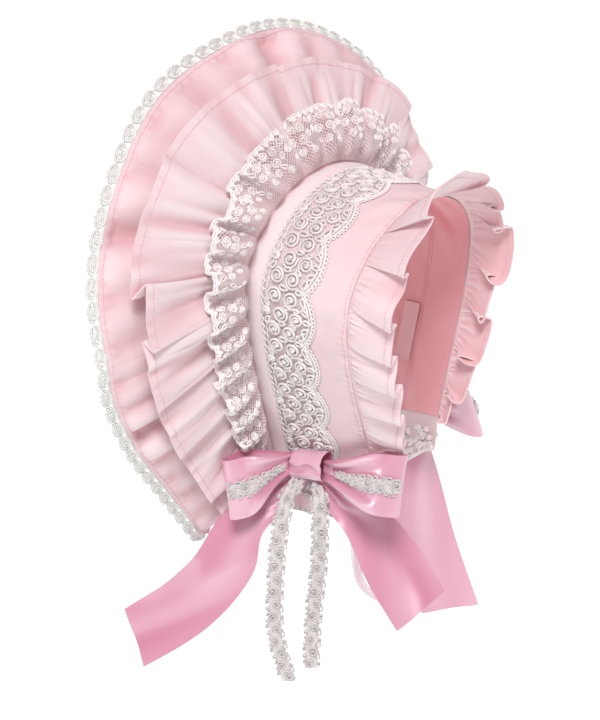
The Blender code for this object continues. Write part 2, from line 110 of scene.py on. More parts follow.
TAILS = {
    "tail_front_left": (
        RIBBON_ROOT_FRONT,
        (15.0, -21.0, -27.0, 0.12, -0.91, 0.39, 12.0),
        (36.0, -36.0, -46.0, 0.10, -0.96, 0.24, 17.0),
        (54.0, -42.0, -77.0, 0.39, -0.90, 0.18, 23.0),
        (71.0, -64.0, -112.0, 0.14, -0.80, 0.58, 23.0),
        (92.0, -98.0, -144.0, -0.21, -0.54, 0.82, 23.0),
    ),
    "tail_back_left": (
        RIBBON_ROOT_BACK,
        (-4.0, 25.0, -27.0, 0.60, -0.60, -0.50, 11.0),
        (-9.0, 46.0, -41.0, 0.69, -0.64, -0.34, 18.0),
        (-10.0, 68.0, -69.0, 0.70, -0.61, -0.37, 23.0),
        (-13.0, 90.0, -102.0, 0.71, -0.44, -0.55, 23.0),
    ),
    "tail_front_right": (
        RIBBON_ROOT_FRONT,
        (3.0, -15.0, -49.0, 0.50, -0.75, -0.40, 12.0),
        (-12.0, -26.0, -97.0, 0.64, -0.52, -0.56, 20.0),
        (-19.0, -30.0, -142.0, 0.62, -0.53, -0.58, 23.0),
        (-18.0, -25.0, -182.0, 0.57, -0.53, -0.63, 23.0),
        (-9.0, -10.0, -199.0, 0.55, -0.52, -0.65, 23.0),
    ),
    "tail_back_right": (
        RIBBON_ROOT_BACK,
        (-6.0, 14.0, -38.0, -0.40, -0.90, -0.10, 12.0),
        (-9.0, 20.0, -77.0, -0.63, -0.76, -0.14, 20.0),
        (-8.0, 31.0, -125.0, -0.64, -0.76, -0.15, 23.0),
        (-3.0, 52.0, -184.0, -0.64, -0.75, -0.15, 23.0),
    ),
}
LACE_TAILS = {
    "lace_tail_front_left": (
        LACE_ROOT_FRONT,
        (20.0, -7.0, -20.0, *LACE_EDGE),
        (30.0, -7.0, -46.0, *LACE_EDGE),
        (35.0, -7.0, -78.0, *LACE_EDGE),
        (39.0, -5.0, -130.0, *LACE_EDGE),
        (36.0, 5.0, -175.0, *LACE_EDGE),
    ),
    "lace_tail_back_left": (
        LACE_ROOT_BACK,
        (9.0, 14.0, -22.0, *LACE_EDGE),
        (10.0, 15.0, -45.0, *LACE_EDGE),
        (10.0, 14.0, -80.0, *LACE_EDGE),
        (13.0, 12.0, -120.0, *LACE_EDGE),
        (17.0, 12.0, -172.0, *LACE_EDGE),
    ),
    "lace_tail_front_right": (
        LACE_ROOT_FRONT,
        (12.0, -3.0, -30.0, *LACE_EDGE_RIGHT),
        (10.0, 0.0, -70.0, *LACE_EDGE),
        (2.0, 0.0, -130.0, *LACE_EDGE),
        (-8.0, 3.0, -197.0, *LACE_EDGE),
    ),
    "lace_tail_back_right": (
        LACE_ROOT_BACK,
        (5.0, 9.0, -25.0, *LACE_EDGE_RIGHT),
        (7.0, 10.0, -60.0, *LACE_EDGE),
        (8.0, 9.0, -110.0, *LACE_EDGE),
        (7.0, 8.0, -165.0, *LACE_EDGE),
    ),
}

# Loops of the bows: millimetres from the knot to the middle of the outer fold, and that fold's direction
LOOPS = {
    "loop_front_left": (50.5, -39.0, -9.5, -0.11, -0.22, 0.97),
    "loop_back_left": (2.0, 80.0, 13.0, -0.30, -0.06, 0.95),
    "loop_front_right": (50.5, -39.0, -9.5, -0.11, -0.22, 0.97),
    "loop_back_right": (8.0, 60.0, -2.0, -0.30, -0.15, 0.94),
}

# Roses and leaves of one repeat of the broad crown lace: millimetres along and across from the front
# edge, the radius, and the turn in degrees
CROWN_ROSES = (
    ("along", "across", "radius", "turn"),
    (7.0, 11.5, 6.2, 20.0),
    (20.0, 16.5, 6.6, 200.0),
    (7.5, 25.5, 6.4, 100.0),
    (21.0, 30.5, 5.8, 60.0),
    (33.0, 10.5, 5.6, 300.0),
    (33.5, 24.0, 6.2, 150.0),
    (20.3, 5.0, 3.2, 0.0),
)
CROWN_LEAVES = (
    ("along", "across", "length", "turn"),
    (14.0, 5.5, 6.0, 30.0),
    (26.8, 5.5, 6.0, 150.0),
    (13.6, 22.5, 6.0, 100.0),
    (27.2, 18.0, 5.5, 100.0),
    (27.6, 27.0, 5.0, 60.0),
    (0.3, 18.0, 7.0, 90.0),
    (0.3, 31.5, 6.5, 90.0),
    (7.0, 35.5, 7.5, 20.0),
    (33.8, 34.0, 7.0, 160.0),
    (13.5, 37.5, 6.5, 60.0),
    (27.6, 37.5, 6.5, 120.0),
    (20.5, 39.0, 6.0, 90.0),
    (14.0, 30.5, 4.5, 90.0),
)

# Flowers of one repeat of the gathered lace, laid out on a lace of this width in millimetres
FRILL_TABLE_WIDTH = 43.0
FRILL_REPEAT = 23.0
FRILL_ROSES = (
    ("along", "across", "radius", "turn"),
    (6.0, 33.0, 4.0, 30.0),
    (14.0, 35.0, 3.7, 190.0),
    (9.5, 24.5, 4.1, 280.0),
    (18.0, 26.5, 3.6, 80.0),
    (13.5, 16.5, 3.3, 10.0),
    (4.0, 13.0, 3.0, 140.0),
)
FRILL_LEAVES = (
    ("along", "across", "length", "turn"),
    (20.0, 35.0, 5.5, 70.0),
    (2.5, 26.0, 5.5, 110.0),
    (7.0, 18.5, 5.5, 50.0),
)


def mix(a, b, share):
    return a + (b - a) * share


def smooth(share):
    share = np.clip(share, 0.0, 1.0)
    return share * share * (3.0 - 2.0 * share)


def unit(directions):
    return directions / np.maximum(np.linalg.norm(directions, axis=-1, keepdims=True), 1e-9)


def vectors(x, y, z):
    return np.stack(np.broadcast_arrays(x, y, z), axis=-1).astype(float)


def wobble(x, seed, waves=4):
    """An uneven wave between about -1 and 1, the same on each run."""
    turns = 1.0 + np.arange(waves) * 0.618 + 0.07 * seed
    return sum(np.sin(x * turn + seed * 2.4 * (k + 1)) for k, turn in enumerate(turns)) / waves * 1.5


def turn_and_drop(place):
    """For places from -1 (right hem) to 1 (left hem): the turn over the rounded top, and the share down a side."""
    turn = np.minimum(np.abs(place) / TOP_SHARE, 1.0) * math.pi / 2
    down = np.clip((np.abs(place) - TOP_SHARE) / (1.0 - TOP_SHARE), 0.0, None)
    return turn, down


def arch(place, y):
    """Points of the head hollow and their outward normals, at places from -1 to 1."""
    side = np.where(place < 0, -1.0, 1.0)
    turn, down = turn_and_drop(place)
    share = np.clip(0.5 + y / CROWN_DEPTH, 0.0, 1.0)
    drop = mix(*DROPS, share)
    pinch = mix(*PINCHES, share)
    x = HEAD_HALF_WIDTH * np.sin(turn) - pinch * down * down * (2.0 - down)
    z = HEAD_RISE * (np.cos(turn) - 1.0) - drop * down
    on_top = np.abs(place) < TOP_SHARE
    normal_x = np.where(on_top, np.sin(turn) / HEAD_HALF_WIDTH, drop)
    normal_z = np.where(on_top, np.cos(turn) / HEAD_RISE, -pinch * down * (4.0 - 3.0 * down))
    return vectors(side * x, y, z), unit(vectors(side * normal_x, 0.0 * y, normal_z))


def crown_point(place, y, off):
    point, normal = arch(place, y)
    return point + normal * np.expand_dims(np.broadcast_to(off, point.shape[:-1]), -1)


def travelled_along(line):
    """Distance from the start of a line to each of its points."""
    return np.concatenate(([0.0], np.cumsum(np.linalg.norm(np.diff(line, axis=0), axis=1))))


def rounded_path(path, kernel):
    """The same path with its corners rounded by a moving average, and both ends kept."""
    reach = len(kernel) // 2
    padded = np.pad(path, ((reach, reach), (0, 0)), mode="edge")
    rounded = np.stack([np.convolve(column, kernel, mode="valid") for column in padded.T], axis=1)
    rounded[0], rounded[-1] = path[0], path[-1]
    return rounded


def brim_edge(place):
    """Points of the brim's outer edge."""
    turn, down = turn_and_drop(place)
    x = EDGE_HALF_WIDTH * np.sin(turn) - EDGE_PINCH * down * down * (2.0 - down)
    z = EDGE_RISE * np.cos(turn) - EDGE_DROP * down
    forward = mix(*EDGE_FORWARD, np.where(down > 0.0, 0.0, np.cos(turn)))
    return vectors(np.where(place < 0, -x, x), -CROWN_DEPTH / 2 - forward, EDGE_LEVEL + z)


def brim_base(place, reach):
    """Points of the brim's face side, from the seam (reach 0) to the edge (reach 1)."""
    root = crown_point(place, BRIM_SEAM_Y + 0.0 * place, SHELL_OFF)
    return root + (brim_edge(place) - root) * reach[..., None]


def brim_normal(place, reach):
    """Directions that stand off the brim, towards the back of the head."""
    step = 0.002
    place = np.clip(place, -1.0 + step, 1.0 - step)
    along = brim_base(place + step, reach) - brim_base(place - step, reach)
    outward = brim_base(place, reach + step) - brim_base(place, reach - step)
    return unit(np.cross(outward, along))


def brim_wave(place, reach):
    """Soft gathers of the brim's outer half, which die out at the hem."""
    fade = smooth((reach - 0.35) / 0.3) * smooth((0.97 - reach) / 0.15)
    return 0.0014 * fade * np.sin(math.pi * 16 * (place + 1.0) + 2.0 * np.sin(5.0 * place))


def brim_point(place, reach, height):
    """Points at a height over the brim's face side."""
    place, reach, height = np.broadcast_arrays(place, reach, height)
    belly = 0.004 * np.sin(math.pi * np.clip(reach, 0.0, 1.0))
    rise = height + belly + brim_wave(place, reach)
    return brim_base(place, reach) + brim_normal(place, reach) * rise[..., None]


def brim_depth(place):
    return np.linalg.norm(brim_edge(place) - brim_base(place, 0.0 * place), axis=-1)


def corner_share(place):
    """How far a place lies into one of the brim's two lower corners, from 0 to 1."""
    return np.clip((np.abs(place) - 0.955) / 0.045, 0.0, 1.0)


def brim_end(place):
    """Reach of the brim's hem, rounded off at the two lower corners."""
    corner = 0.10 * corner_share(place) ** 2.4
    return 1.0 - corner + 0.012 * wobble(place * 10.0, 5.0) * smooth((1.0 - np.abs(place)) / 0.1)


def frill_root(place):
    """Reach at which the frills are sewn to the brim."""
    return mix(0.0018, 0.0048, smooth(np.abs(place) / TOP_SHARE)) / brim_depth(place)


def creases(x, seed):
    """Narrow uneven valleys from 0 to -1, the same on each run."""
    turn = math.pi * (x + 0.45 * wobble(x * 1.3, seed))
    return -np.exp(-np.abs(np.sin(turn)) / 0.16) * (0.55 + 0.45 * wobble(x * 0.9, seed + 3.0))


class Patch:
    """Cloth laid as a grid of points: its columns follow each other along it, and its rows across it."""

    def __init__(self, points, flip=False, measured=1.0):
        self.points = points
        along = np.gradient(points, axis=1)
        across = np.gradient(points, axis=0)
        self.flip = flip
        self.measured = measured
        self.normals = unit(np.cross(along, across)) * (-1.0 if flip else 1.0)
        self.lengths = travelled_along(points[round(measured * (len(points) - 1))])
        self.length = float(self.lengths[-1])
        widths = np.linalg.norm(np.diff(points, axis=0), axis=2).sum(axis=0)
        self.width = float(widths.mean())

    def back(self):
        """The same cloth seen from its other face."""
        return Patch(self.points, not self.flip, self.measured)

    def at(self, along, across):
        """Points and normals at metres along the hem and a share 0..1 across."""
        rows, columns = self.points.shape[:2]
        u = np.interp(along, self.lengths, np.arange(columns))
        v = np.clip(across, 0.0, 1.0) * (rows - 1)
        left = np.minimum(u.astype(int), columns - 2)
        low = np.minimum(v.astype(int), rows - 2)
        du = (u - left)[..., None]
        dv = (v - low)[..., None]
        picked = []
        for values in (self.points, self.normals):
            near = values[low, left] * (1 - du) + values[low, left + 1] * du
            far = values[low + 1, left] * (1 - du) + values[low + 1, left + 1] * du
            picked.append(near * (1 - dv) + far * dv)
        return picked[0], unit(picked[1])

    def hollows(self):
        """How deep each point lies in a fold, from 0 on a ridge to 1 in a valley."""
        rows, columns = self.points.shape[:2]
        row, column = np.arange(rows), np.arange(columns)
        depth = 0.0
        for reach in (0.004, 0.010):
            down = max(1, round(reach / self.width * (rows - 1)))
            along = max(1, round(reach / self.length * (columns - 1)))
            around = sum(
                self.points[np.clip(row + a, 0, rows - 1)][:, np.clip(column + b, 0, columns - 1)]
                for a, b in ((down, 0), (-down, 0), (0, along), (0, -along))) / 4
            depth = depth + ((around - self.points) * self.normals).sum(axis=-1)
        return np.clip(0.5 + depth / 0.0030, 0.0, 1.0)

    def uv(self):
        rows, columns = self.points.shape[:2]
        across = np.repeat(np.linspace(0.0, self.width, rows), columns)
        return np.stack([np.tile(self.lengths, rows), across], axis=1)


def new_piece(name, points, faces, finish, maps=(), crease=50.0):
    """One named mesh object with its finish, riding on the frame."""
    mesh = bpy.data.meshes.new(name)
    mesh.from_pydata(points.tolist(), [], faces)
    for label, flat in dict(maps).items():
        layer = mesh.uv_layers.new(name=label)
        corner = np.zeros(len(mesh.loops), np.int32)
        mesh.loops.foreach_get("vertex_index", corner)
        layer.data.foreach_set("uv", flat[corner].astype(np.float32).ravel())
    mesh.shade_smooth()
    mesh.set_sharp_from_angle(angle=math.radians(crease))
    mesh.materials.append(finish)
    piece = bpy.data.objects.new(name, mesh)
    bpy.context.scene.collection.objects.link(piece)
    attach(piece, "root")
    return piece


def quads(index):
    return np.stack([index[:-1, :-1], index[:-1, 1:], index[1:, 1:], index[1:, :-1]], axis=-1).reshape(-1, 4)


def cloth_piece(name, patch, thick, finish, lift=1.0):
    """A closed wall of cloth on a patch. Lift 1 puts it on the outer side, 0 on the inner side."""
    rows, columns = patch.points.shape[:2]
    wall = np.broadcast_to(thick, (rows, columns))[..., None]
    inner = patch.points + patch.normals * wall * (lift - 1.0)
    outer = patch.points + patch.normals * wall * lift
    index = np.arange(rows * columns).reshape(rows, columns)
    size = rows * columns
    rim = np.concatenate([index[0, :-1], index[:-1, -1], index[-1, :0:-1], index[:0:-1, 0]])
    after = np.roll(rim, -1)
    sides = np.stack([after + size, rim + size, rim, after], axis=1)
    faces = np.concatenate([quads(index + size), quads(index)[:, ::-1], sides])
    if patch.flip:
        faces = faces[:, ::-1]
    points = np.concatenate([inner.reshape(-1, 3), outer.reshape(-1, 3)])
    # Fold map: each point's depth in its fold, which drives painted shade in the valleys and painted light on the
    # ridges
    deep = patch.hollows().ravel()
    deep = np.concatenate([1.0 - deep, deep])
    maps = {"Flat": np.tile(patch.uv(), (2, 1)), "Fold": np.stack([deep, 0.0 * deep], axis=1)}
    return new_piece(name, points, faces.tolist(), finish, maps)


class Cords:
    """Many lengths of cord or thread, gathered for one mesh."""

    def __init__(self):
        self.points = []
        self.faces = []
        self.count = 0

    def add(self, line, normal, width, height, sides=5, closed=False):
        """A cord along a line. Width lies in the cloth and height stands off it."""
        if closed:
            ahead = np.roll(line, -1, axis=0) - np.roll(line, 1, axis=0)
        else:
            ahead = np.gradient(line, axis=0)
        aside = unit(np.cross(normal, unit(ahead)))
        turn = np.linspace(0.0, 2 * math.pi, sides, endpoint=False)
        width = np.broadcast_to(width, len(line))[:, None, None]
        height = np.broadcast_to(height, len(line))[:, None, None]
        tube = (
            line[:, None]
            + aside[:, None] * width * np.cos(turn)[None, :, None]
            + normal[:, None] * height * np.sin(turn)[None, :, None]
        )
        steps = len(line)
        index = self.count + np.arange(steps * sides).reshape(steps, sides)
        if closed:
            index = np.concatenate([index, index[:1]])
        near, far = index[:-1], index[1:]
        walls = np.stack([near, np.roll(near, -1, 1), np.roll(far, -1, 1), far], axis=-1).reshape(-1, 4)
        self.faces += walls.tolist()
        if not closed:
            self.faces += [index[0, ::-1].tolist(), index[-1].tolist()]
        self.points.append(tube.reshape(-1, 3))
        self.count += steps * sides

    def piece(self, name, finish, slot):
        return new_piece(name, np.concatenate(self.points), self.faces, finish, crease=70.0)


def lay(cords, patch, shape, along, across, turn, width, height, closed=False, sides=5, lift=0.0):
    """Lay a flat shape of millimetres on a patch, at metres along and millimetres across."""
    angle = math.radians(turn)
    x = shape[:, 0] * math.cos(angle) - shape[:, 1] * math.sin(angle)
    y = shape[:, 0] * math.sin(angle) + shape[:, 1] * math.cos(angle)
    point, normal = patch.at(along + x * MM, (across + y) * MM / patch.width)
    cords.add(point + normal * (lift + height * 0.6), normal, width, height, sides, closed)


def rose(radius, turns, steps):
    """A spiral from the heart of a corded rose to its rim, in millimetres."""
    share = np.linspace(0.0, 1.0, steps)
    angle = share * turns * 2 * math.pi
    reach = radius * mix(0.16, 1.0, share ** 0.8)
    return np.stack([reach * np.cos(angle), reach * np.sin(angle)], axis=1)


def leaf(length, steps):
    """A pointed loop of cord, in millimetres."""
    angle = np.linspace(0.0, 2 * math.pi, steps, endpoint=False)
    aside = length * 0.24 * np.sin(angle) * (1.0 - 0.35 * np.cos(angle))
    return np.stack([length / 2 * np.cos(angle), aside], axis=1)


def ring(radius, steps):
    """A circle of cord, in millimetres."""
    angle = np.linspace(0.0, 2 * math.pi, steps, endpoint=False)
    return radius * np.stack([np.cos(angle), np.sin(angle)], axis=1)


def rows_of(table):
    """The rows of a table, without the names of its columns."""
    return table[1:]


def lay_flowers(cords, patch, repeat, roses, leaves, cord, inset=1.5, steps=14, sides=4, rise=1.3):
    """Corded roses and leaves, repeat after repeat along a patch."""
    count = max(1, round((patch.length / MM - 2 * inset) / repeat))
    step = (patch.length / MM - 2 * inset) / count
    for k in range(count):
        start = inset + k * step
        for along, across, radius, turn in rows_of(roses):
            place = (start + along * step / repeat) * MM
            if radius * MM < place < patch.length - radius * MM and across > radius:
                spin = turn + 37.0 * k
                lay(cords, patch, rose(radius, 1.9, steps), place, across, spin, cord, cord * rise, sides=sides)
                lay(cords, patch, ring(radius * 0.14, 4), place, across, 0, cord * 1.1, cord * rise * 1.5, True, 4)
        for along, across, length, turn in rows_of(leaves):
            place = (start + along * step / repeat) * MM
            if length / 2 * MM < place < patch.length - length / 2 * MM and across > length / 2:
                lay(cords, patch, leaf(length, 9), place, across, turn, cord * 0.95, cord * 1.1, True, sides)


def placed_from_hem(table, width):
    """The same flowers on a lace of another width, at the same distances from its hem."""
    return table[:1] + tuple(
        (along, width - FRILL_TABLE_WIDTH + across, size, turn) for along, across, size, turn in rows_of(table))


def lay_scallops(cords, patch, pitch, across, depth, cord, picots=0, inner=0.0):
    """A scalloped edge of cord with small loops on it. Across is the valley line in millimetres."""
    largest_loop = 1.7
    count = max(1, round(patch.length / MM / pitch))
    step = patch.length / count
    share = np.linspace(0.0, 1.0, 8)
    for k in range(count):
        along = (k + share) * step
        for cut in (0.0, inner) if inner else (0.0,):
            bow = depth * np.sin(math.pi * share) ** 0.75 - cut
            point, normal = patch.at(along, (across + bow) * MM / patch.width)
            cords.add(point + normal * cord * 0.6, normal, cord, cord, sides=4)
        for p in range(picots):
            spot = (p + 0.5) / picots
            bow = across + depth * math.sin(math.pi * spot) ** 0.75
            tip = 0.55 * (2 * spot - 1.0)
            point_along = (k + spot) * step + tip * MM
            size = min(largest_loop, 0.46 * pitch / picots)
            lay(cords, patch, ring(size, 6), point_along, bow + size, 0, cord * 0.75, cord * 0.8, True, 4)


def stitch_row(cords, patch, across, ends=0.004):
    """Small sunk stitches in a row along a patch, at a share across it, clear of its two ends."""
    sizes, _ = settings()
    for along in np.arange(ends, patch.length - ends, sizes.stitch + sizes.stitch_gap):
        share = np.linspace(0.0, 1.0, 4)
        point, normal = patch.at(along + share * sizes.stitch, np.full(4, across))
        rise = sizes.thread * (0.2 + 0.8 * np.sin(math.pi * share))[:, None]
        cords.add(point + normal * rise, normal, sizes.thread, sizes.thread * 0.8, 4)


def hem_stitches(name, patch, thick, lifts, inset):
    """Stitches along the hem on both faces of a cloth wall. Lifts are its faces' shares of the thickness."""
    seams = Cords()
    for lift, flip in zip(lifts, (patch.flip, not patch.flip)):
        face = Patch(patch.points + patch.normals * thick[..., None] * lift, flip=flip)
        stitch_row(seams, face, 1.0 - inset / patch.width)
    return seams.piece(name, finish_named("Sewing thread"), "cotton")


def hemmed_frill(name, node_name, patch, share, hem_width, hem_inset):
    """A gathered frill with a turned and stitched hem. Share runs from seam to hem; the hem is in millimetres."""
    sizes, _ = settings()
    inside = (1.0 - share) * patch.width / MM
    thick = sizes.cotton_thick * (1.0 + 0.9 * smooth((hem_width - inside) / 0.8))
    thick = np.broadcast_to(thick, patch.points.shape[:2])
    frill = cloth_piece(f"{name}_cloth", patch, thick, finish_named("Pale cotton"), lift=0.5)
    stitches = hem_stitches(f"{name}_stitches", patch, thick, (0.5, -0.5), hem_inset * MM)
    declare(frill, [node_name])


class HeadbandSizes(bpy.types.PropertyGroup):
    cotton_thick: bpy.props.FloatProperty(
        name="Cotton", description="Thickness of a frill's cotton", default=0.0006, unit="LENGTH"
    )
    satin_thick: bpy.props.FloatProperty(
        name="Satin", description="Thickness of the ribbon", default=0.0005, unit="LENGTH"
    )
    net_thick: bpy.props.FloatProperty(
        name="Net", description="Thickness of the net under the lace cords", default=0.0003, unit="LENGTH"
    )
    net_cell: bpy.props.FloatProperty(
        name="Net cell", description="Width of one hole of the net", default=0.0020, unit="LENGTH"
    )
    cord: bpy.props.FloatProperty(
        name="Lace cord", description="Half width of the cord in the lace flowers", default=0.00075, unit="LENGTH"
    )
    stitch: bpy.props.FloatProperty(
        name="Stitch", description="Length of one stitch", default=0.0021, unit="LENGTH"
    )
    stitch_gap: bpy.props.FloatProperty(
        name="Stitch gap", description="Gap between two stitches", default=0.0010, unit="LENGTH"
    )
    thread: bpy.props.FloatProperty(
        name="Thread", description="Half width of the sewing thread", default=0.00024, unit="LENGTH"
    )
    floor_drop: bpy.props.FloatProperty(
        name="Floor", description="Height of the floor, from the top of the head", default=-1.30, unit="LENGTH"
    )


class HeadbandColours(bpy.types.PropertyGroup):
    cotton: bpy.props.FloatVectorProperty(
        name="Cotton", description="Pale pink cotton", subtype="COLOR", default=(0.895, 0.738, 0.757)
    )
    lining: bpy.props.FloatVectorProperty(
        name="Lining", description="Cotton inside the crown", subtype="COLOR", default=(0.88, 0.50, 0.53)
    )
    lace: bpy.props.FloatVectorProperty(
        name="Lace", description="Warm white lace", subtype="COLOR", default=(0.91, 0.885, 0.87)
    )
    satin: bpy.props.FloatVectorProperty(
        name="Satin", description="Deep pink satin ribbon", subtype="COLOR", default=(0.71, 0.315, 0.445)
    )
    thread: bpy.props.FloatVectorProperty(
        name="Thread", description="Sewing thread, a little deeper than the cotton", subtype="COLOR",
        default=(0.84, 0.48, 0.54),
    )
    edging: bpy.props.FloatVectorProperty(
        name="Edging", description="Cool white looped edging of the brim", subtype="COLOR", default=(0.84, 0.87, 0.84)
    )
    floor: bpy.props.FloatVectorProperty(
        name="Floor", description="Pale floor", subtype="COLOR", default=(1.0, 1.0, 1.0)
    )


def node(tree, kind, inputs=(), **options):
    """A shader node with its options, its values and its links."""
    made = tree.nodes.new(kind)
    for option, value in options.items():
        setattr(made, option, value)
    for socket, value in dict(inputs).items():
        if isinstance(value, bpy.types.NodeSocket):
            tree.links.new(value, made.inputs[socket])
        else:
            made.inputs[socket].default_value = value
    return made


def math_node(tree, operation, *values):
    return node(tree, "ShaderNodeMath", enumerate(values), operation=operation).outputs[0]


def fill_weave(group, given, wanted):
    """Plain weave of warp and weft with slubs: a height and a shade, on a flat map in metres."""
    split = node(group, "ShaderNodeSeparateXYZ", {0: given["Vector"]})
    turns = math_node(group, "MULTIPLY", given["Threads"], math.pi)
    warp = math_node(group, "SINE", math_node(group, "MULTIPLY", split.outputs[0], turns))
    weft = math_node(group, "SINE", math_node(group, "MULTIPLY", split.outputs[1], turns))
    over = math_node(group, "MULTIPLY", warp, weft)
    streaks = []
    for stretch in ((90.0, 1400.0, 1.0), (1400.0, 90.0, 1.0)):
        moved = node(group, "ShaderNodeMapping", {"Vector": given["Vector"], "Scale": stretch})
        streaks.append(node(group, "ShaderNodeTexNoise", {"Vector": moved.outputs[0], "Scale": 1.0, "Detail": 2.0}))
    slub = math_node(group, "ADD", streaks[0].outputs["Fac"], streaks[1].outputs["Fac"])
    slub = math_node(group, "MULTIPLY", math_node(group, "SUBTRACT", slub, 1.0), given["Slub"])
    height = math_node(group, "ADD", math_node(group, "MULTIPLY", over, 0.35), slub)
    group.links.new(height, wanted["Height"])
    group.links.new(math_node(group, "ADD", slub, 0.5), wanted["Shade"])


def fill_dye(group, given, wanted):
    """Soft uneven depth of a colour over a piece, as a mask from 0 to 1."""
    broad = node(group, "ShaderNodeTexNoise", {
        "Vector": given["Vector"], "Scale": given["Scale"], "Detail": 3.0})
    spread = node(group, "ShaderNodeMapRange", {
        "Value": broad.outputs["Fac"], "From Min": 0.3, "From Max": 0.7}, interpolation_type="SMOOTHSTEP")
    group.links.new(spread.outputs[0], wanted["Mask"])


def fill_fold(group, given, wanted):
    """Two masks from the fold map, for painted shade and painted light: how far a spot is down in a valley, and how
    far up on a ridge.
    """
    deep = node(group, "ShaderNodeSeparateXYZ", {0: given["Vector"]}).outputs[0]
    for label, near, far in (("Valley", 0.52, 1.0), ("Ridge", 0.46, 0.0)):
        mask = node(group, "ShaderNodeMapRange", {"Value": deep, "From Min": near, "From Max": far})
        group.links.new(math_node(group, "MULTIPLY", mask.outputs[0], given[f"{label} share"]), wanted[label])


def fill_net(group, given, wanted):
    """Netted ground: a mask that is 1 on a thread and 0 in a hole, and the thread's height."""
    turned = node(group, "ShaderNodeMapping", {
        "Vector": given["Vector"], "Rotation": (0.0, 0.0, math.radians(45))})
    cells = node(group, "ShaderNodeTexVoronoi", {
        "Vector": turned.outputs[0], "Scale": given["Cells"], "Randomness": 0.35},
        feature="DISTANCE_TO_EDGE", voronoi_dimensions="2D")
    inside = math_node(group, "DIVIDE", cells.outputs["Distance"], given["Thread"])
    mask = node(group, "ShaderNodeMapRange", {
        "Value": inside, "From Min": 0.85, "From Max": 1.1, "To Min": 1.0, "To Max": 0.0})
    group.links.new(mask.outputs[0], wanted["Mask"])
    group.links.new(math_node(group, "SUBTRACT", 1.0, inside), wanted["Height"])


def fill_thread(group, given, wanted):
    """Fine twist and fuzz of a cord: a height and a shade."""
    fuzz = node(group, "ShaderNodeTexNoise", {
        "Vector": given["Vector"], "Scale": given["Scale"], "Detail": 3.0})
    twist = node(group, "ShaderNodeTexWave", {
        "Vector": given["Vector"], "Scale": math_node(group, "MULTIPLY", given["Scale"], 0.5),
        "Distortion": 3.0}, bands_direction="DIAGONAL")
    height = math_node(group, "ADD", fuzz.outputs["Fac"], math_node(group, "MULTIPLY", twist.outputs["Fac"], 0.5))
    group.links.new(height, wanted["Height"])
    group.links.new(fuzz.outputs["Fac"], wanted["Shade"])


# Node groups: what fills each, its numbers beside the vector, and its outputs
GROUPS = {
    "Plain weave": (fill_weave, {"Threads": 2200.0, "Slub": 0.5}, ("Height", "Shade")),
    "Uneven dye": (fill_dye, {"Scale": 14.0}, ("Mask",)),
    "Fold shade": (fill_fold, {"Valley share": 0.7, "Ridge share": 0.7}, ("Valley", "Ridge")),
    "Netted ground": (fill_net, {"Cells": 550.0, "Thread": 0.2}, ("Mask", "Height")),
    "Twisted thread": (fill_thread, {"Scale": 900.0}, ("Height", "Shade")),
}


def shared_group(name):
    """A node group that several finishes share, made when first asked for."""
    if name in bpy.data.node_groups:
        return bpy.data.node_groups[name]
    fill, inputs, outputs = GROUPS[name]
    group = bpy.data.node_groups.new(name, "ShaderNodeTree")
    group.interface.new_socket(name="Vector", in_out="INPUT", socket_type="NodeSocketVector")
    for label, value in inputs.items():
        socket = group.interface.new_socket(name=label, in_out="INPUT", socket_type="NodeSocketFloat")
        socket.default_value = value
    for label in outputs:
        group.interface.new_socket(name=label, in_out="OUTPUT", socket_type="NodeSocketFloat")
    given, wanted = group.nodes.new("NodeGroupInput"), group.nodes.new("NodeGroupOutput")
    fill(group, given.outputs, wanted.inputs)
    return group


def placed_group(tree, name, vector, **values):
    """A shared node group in a finish, with its vector and numbers."""
    made = node(tree, "ShaderNodeGroup", node_tree=shared_group(name))
    tree.links.new(vector, made.inputs["Vector"])
    for socket, value in values.items():
        made.inputs[socket.replace("_", " ")].default_value = value
    return made


def painted_fold_shade(tree, base, rich, light, valley, ridge):
    """A colour made richer in the valleys of the folds as painted shade, and lighter on their ridges as painted light.
    """
    spot = node(tree, "ShaderNodeUVMap", uv_map="Fold")
    fold = placed_group(tree, "Fold shade", spot.outputs[0], Valley_share=valley, Ridge_share=ridge)
    return tinted(tree, fold.outputs["Ridge"], tinted(tree, fold.outputs["Valley"], base, rich), light)


def new_finish(name, roughness, sheen, specular):
    """A material with a plain Principled shader, and its tree, shader and coordinates."""
    finish = bpy.data.materials.new(name)
    finish.use_nodes = True
    tree = finish.node_tree
    shader = tree.nodes["Principled BSDF"]
    shader.inputs["Roughness"].default_value = roughness
    shader.inputs["Sheen Weight"].default_value = sheen
    shader.inputs["Sheen Roughness"].default_value = 0.4
    shader.inputs["Specular IOR Level"].default_value = specular
    return finish, tree, shader, tree.nodes.new("ShaderNodeTexCoord")


def tinted(tree, mask, low, high):
    """A colour between two, by a mask."""
    made = node(tree, "ShaderNodeMix", data_type="RGBA")
    tree.links.new(mask, made.inputs["Factor"])
    for socket, value in (("A", low), ("B", high)):
        target = [s for s in made.inputs if s.name == socket and s.type == "RGBA"][0]
        if isinstance(value, bpy.types.NodeSocket):
            tree.links.new(value, target)
        else:
            target.default_value = (*value, 1.0)
    return [s for s in made.outputs if s.type == "RGBA"][0]


def scaled(colour, share):
    return tuple(min(1.0, part * share) for part in colour)


def deepened(colour, power):
    """A richer colour for a power over 1, and a lighter one for a power under 1."""
    return tuple(part ** power for part in colour)


def dye_mask(tree, coordinates, scale):
    return placed_group(tree, "Uneven dye", coordinates.outputs["Object"], Scale=scale).outputs["Mask"]


def roughened(tree, shader, mask, low, high):
    """Roughness that runs between two values with a mask."""
    rough = node(tree, "ShaderNodeMapRange", {"Value": mask, "To Min": low, "To Max": high})
    tree.links.new(rough.outputs[0], shader.inputs["Roughness"])


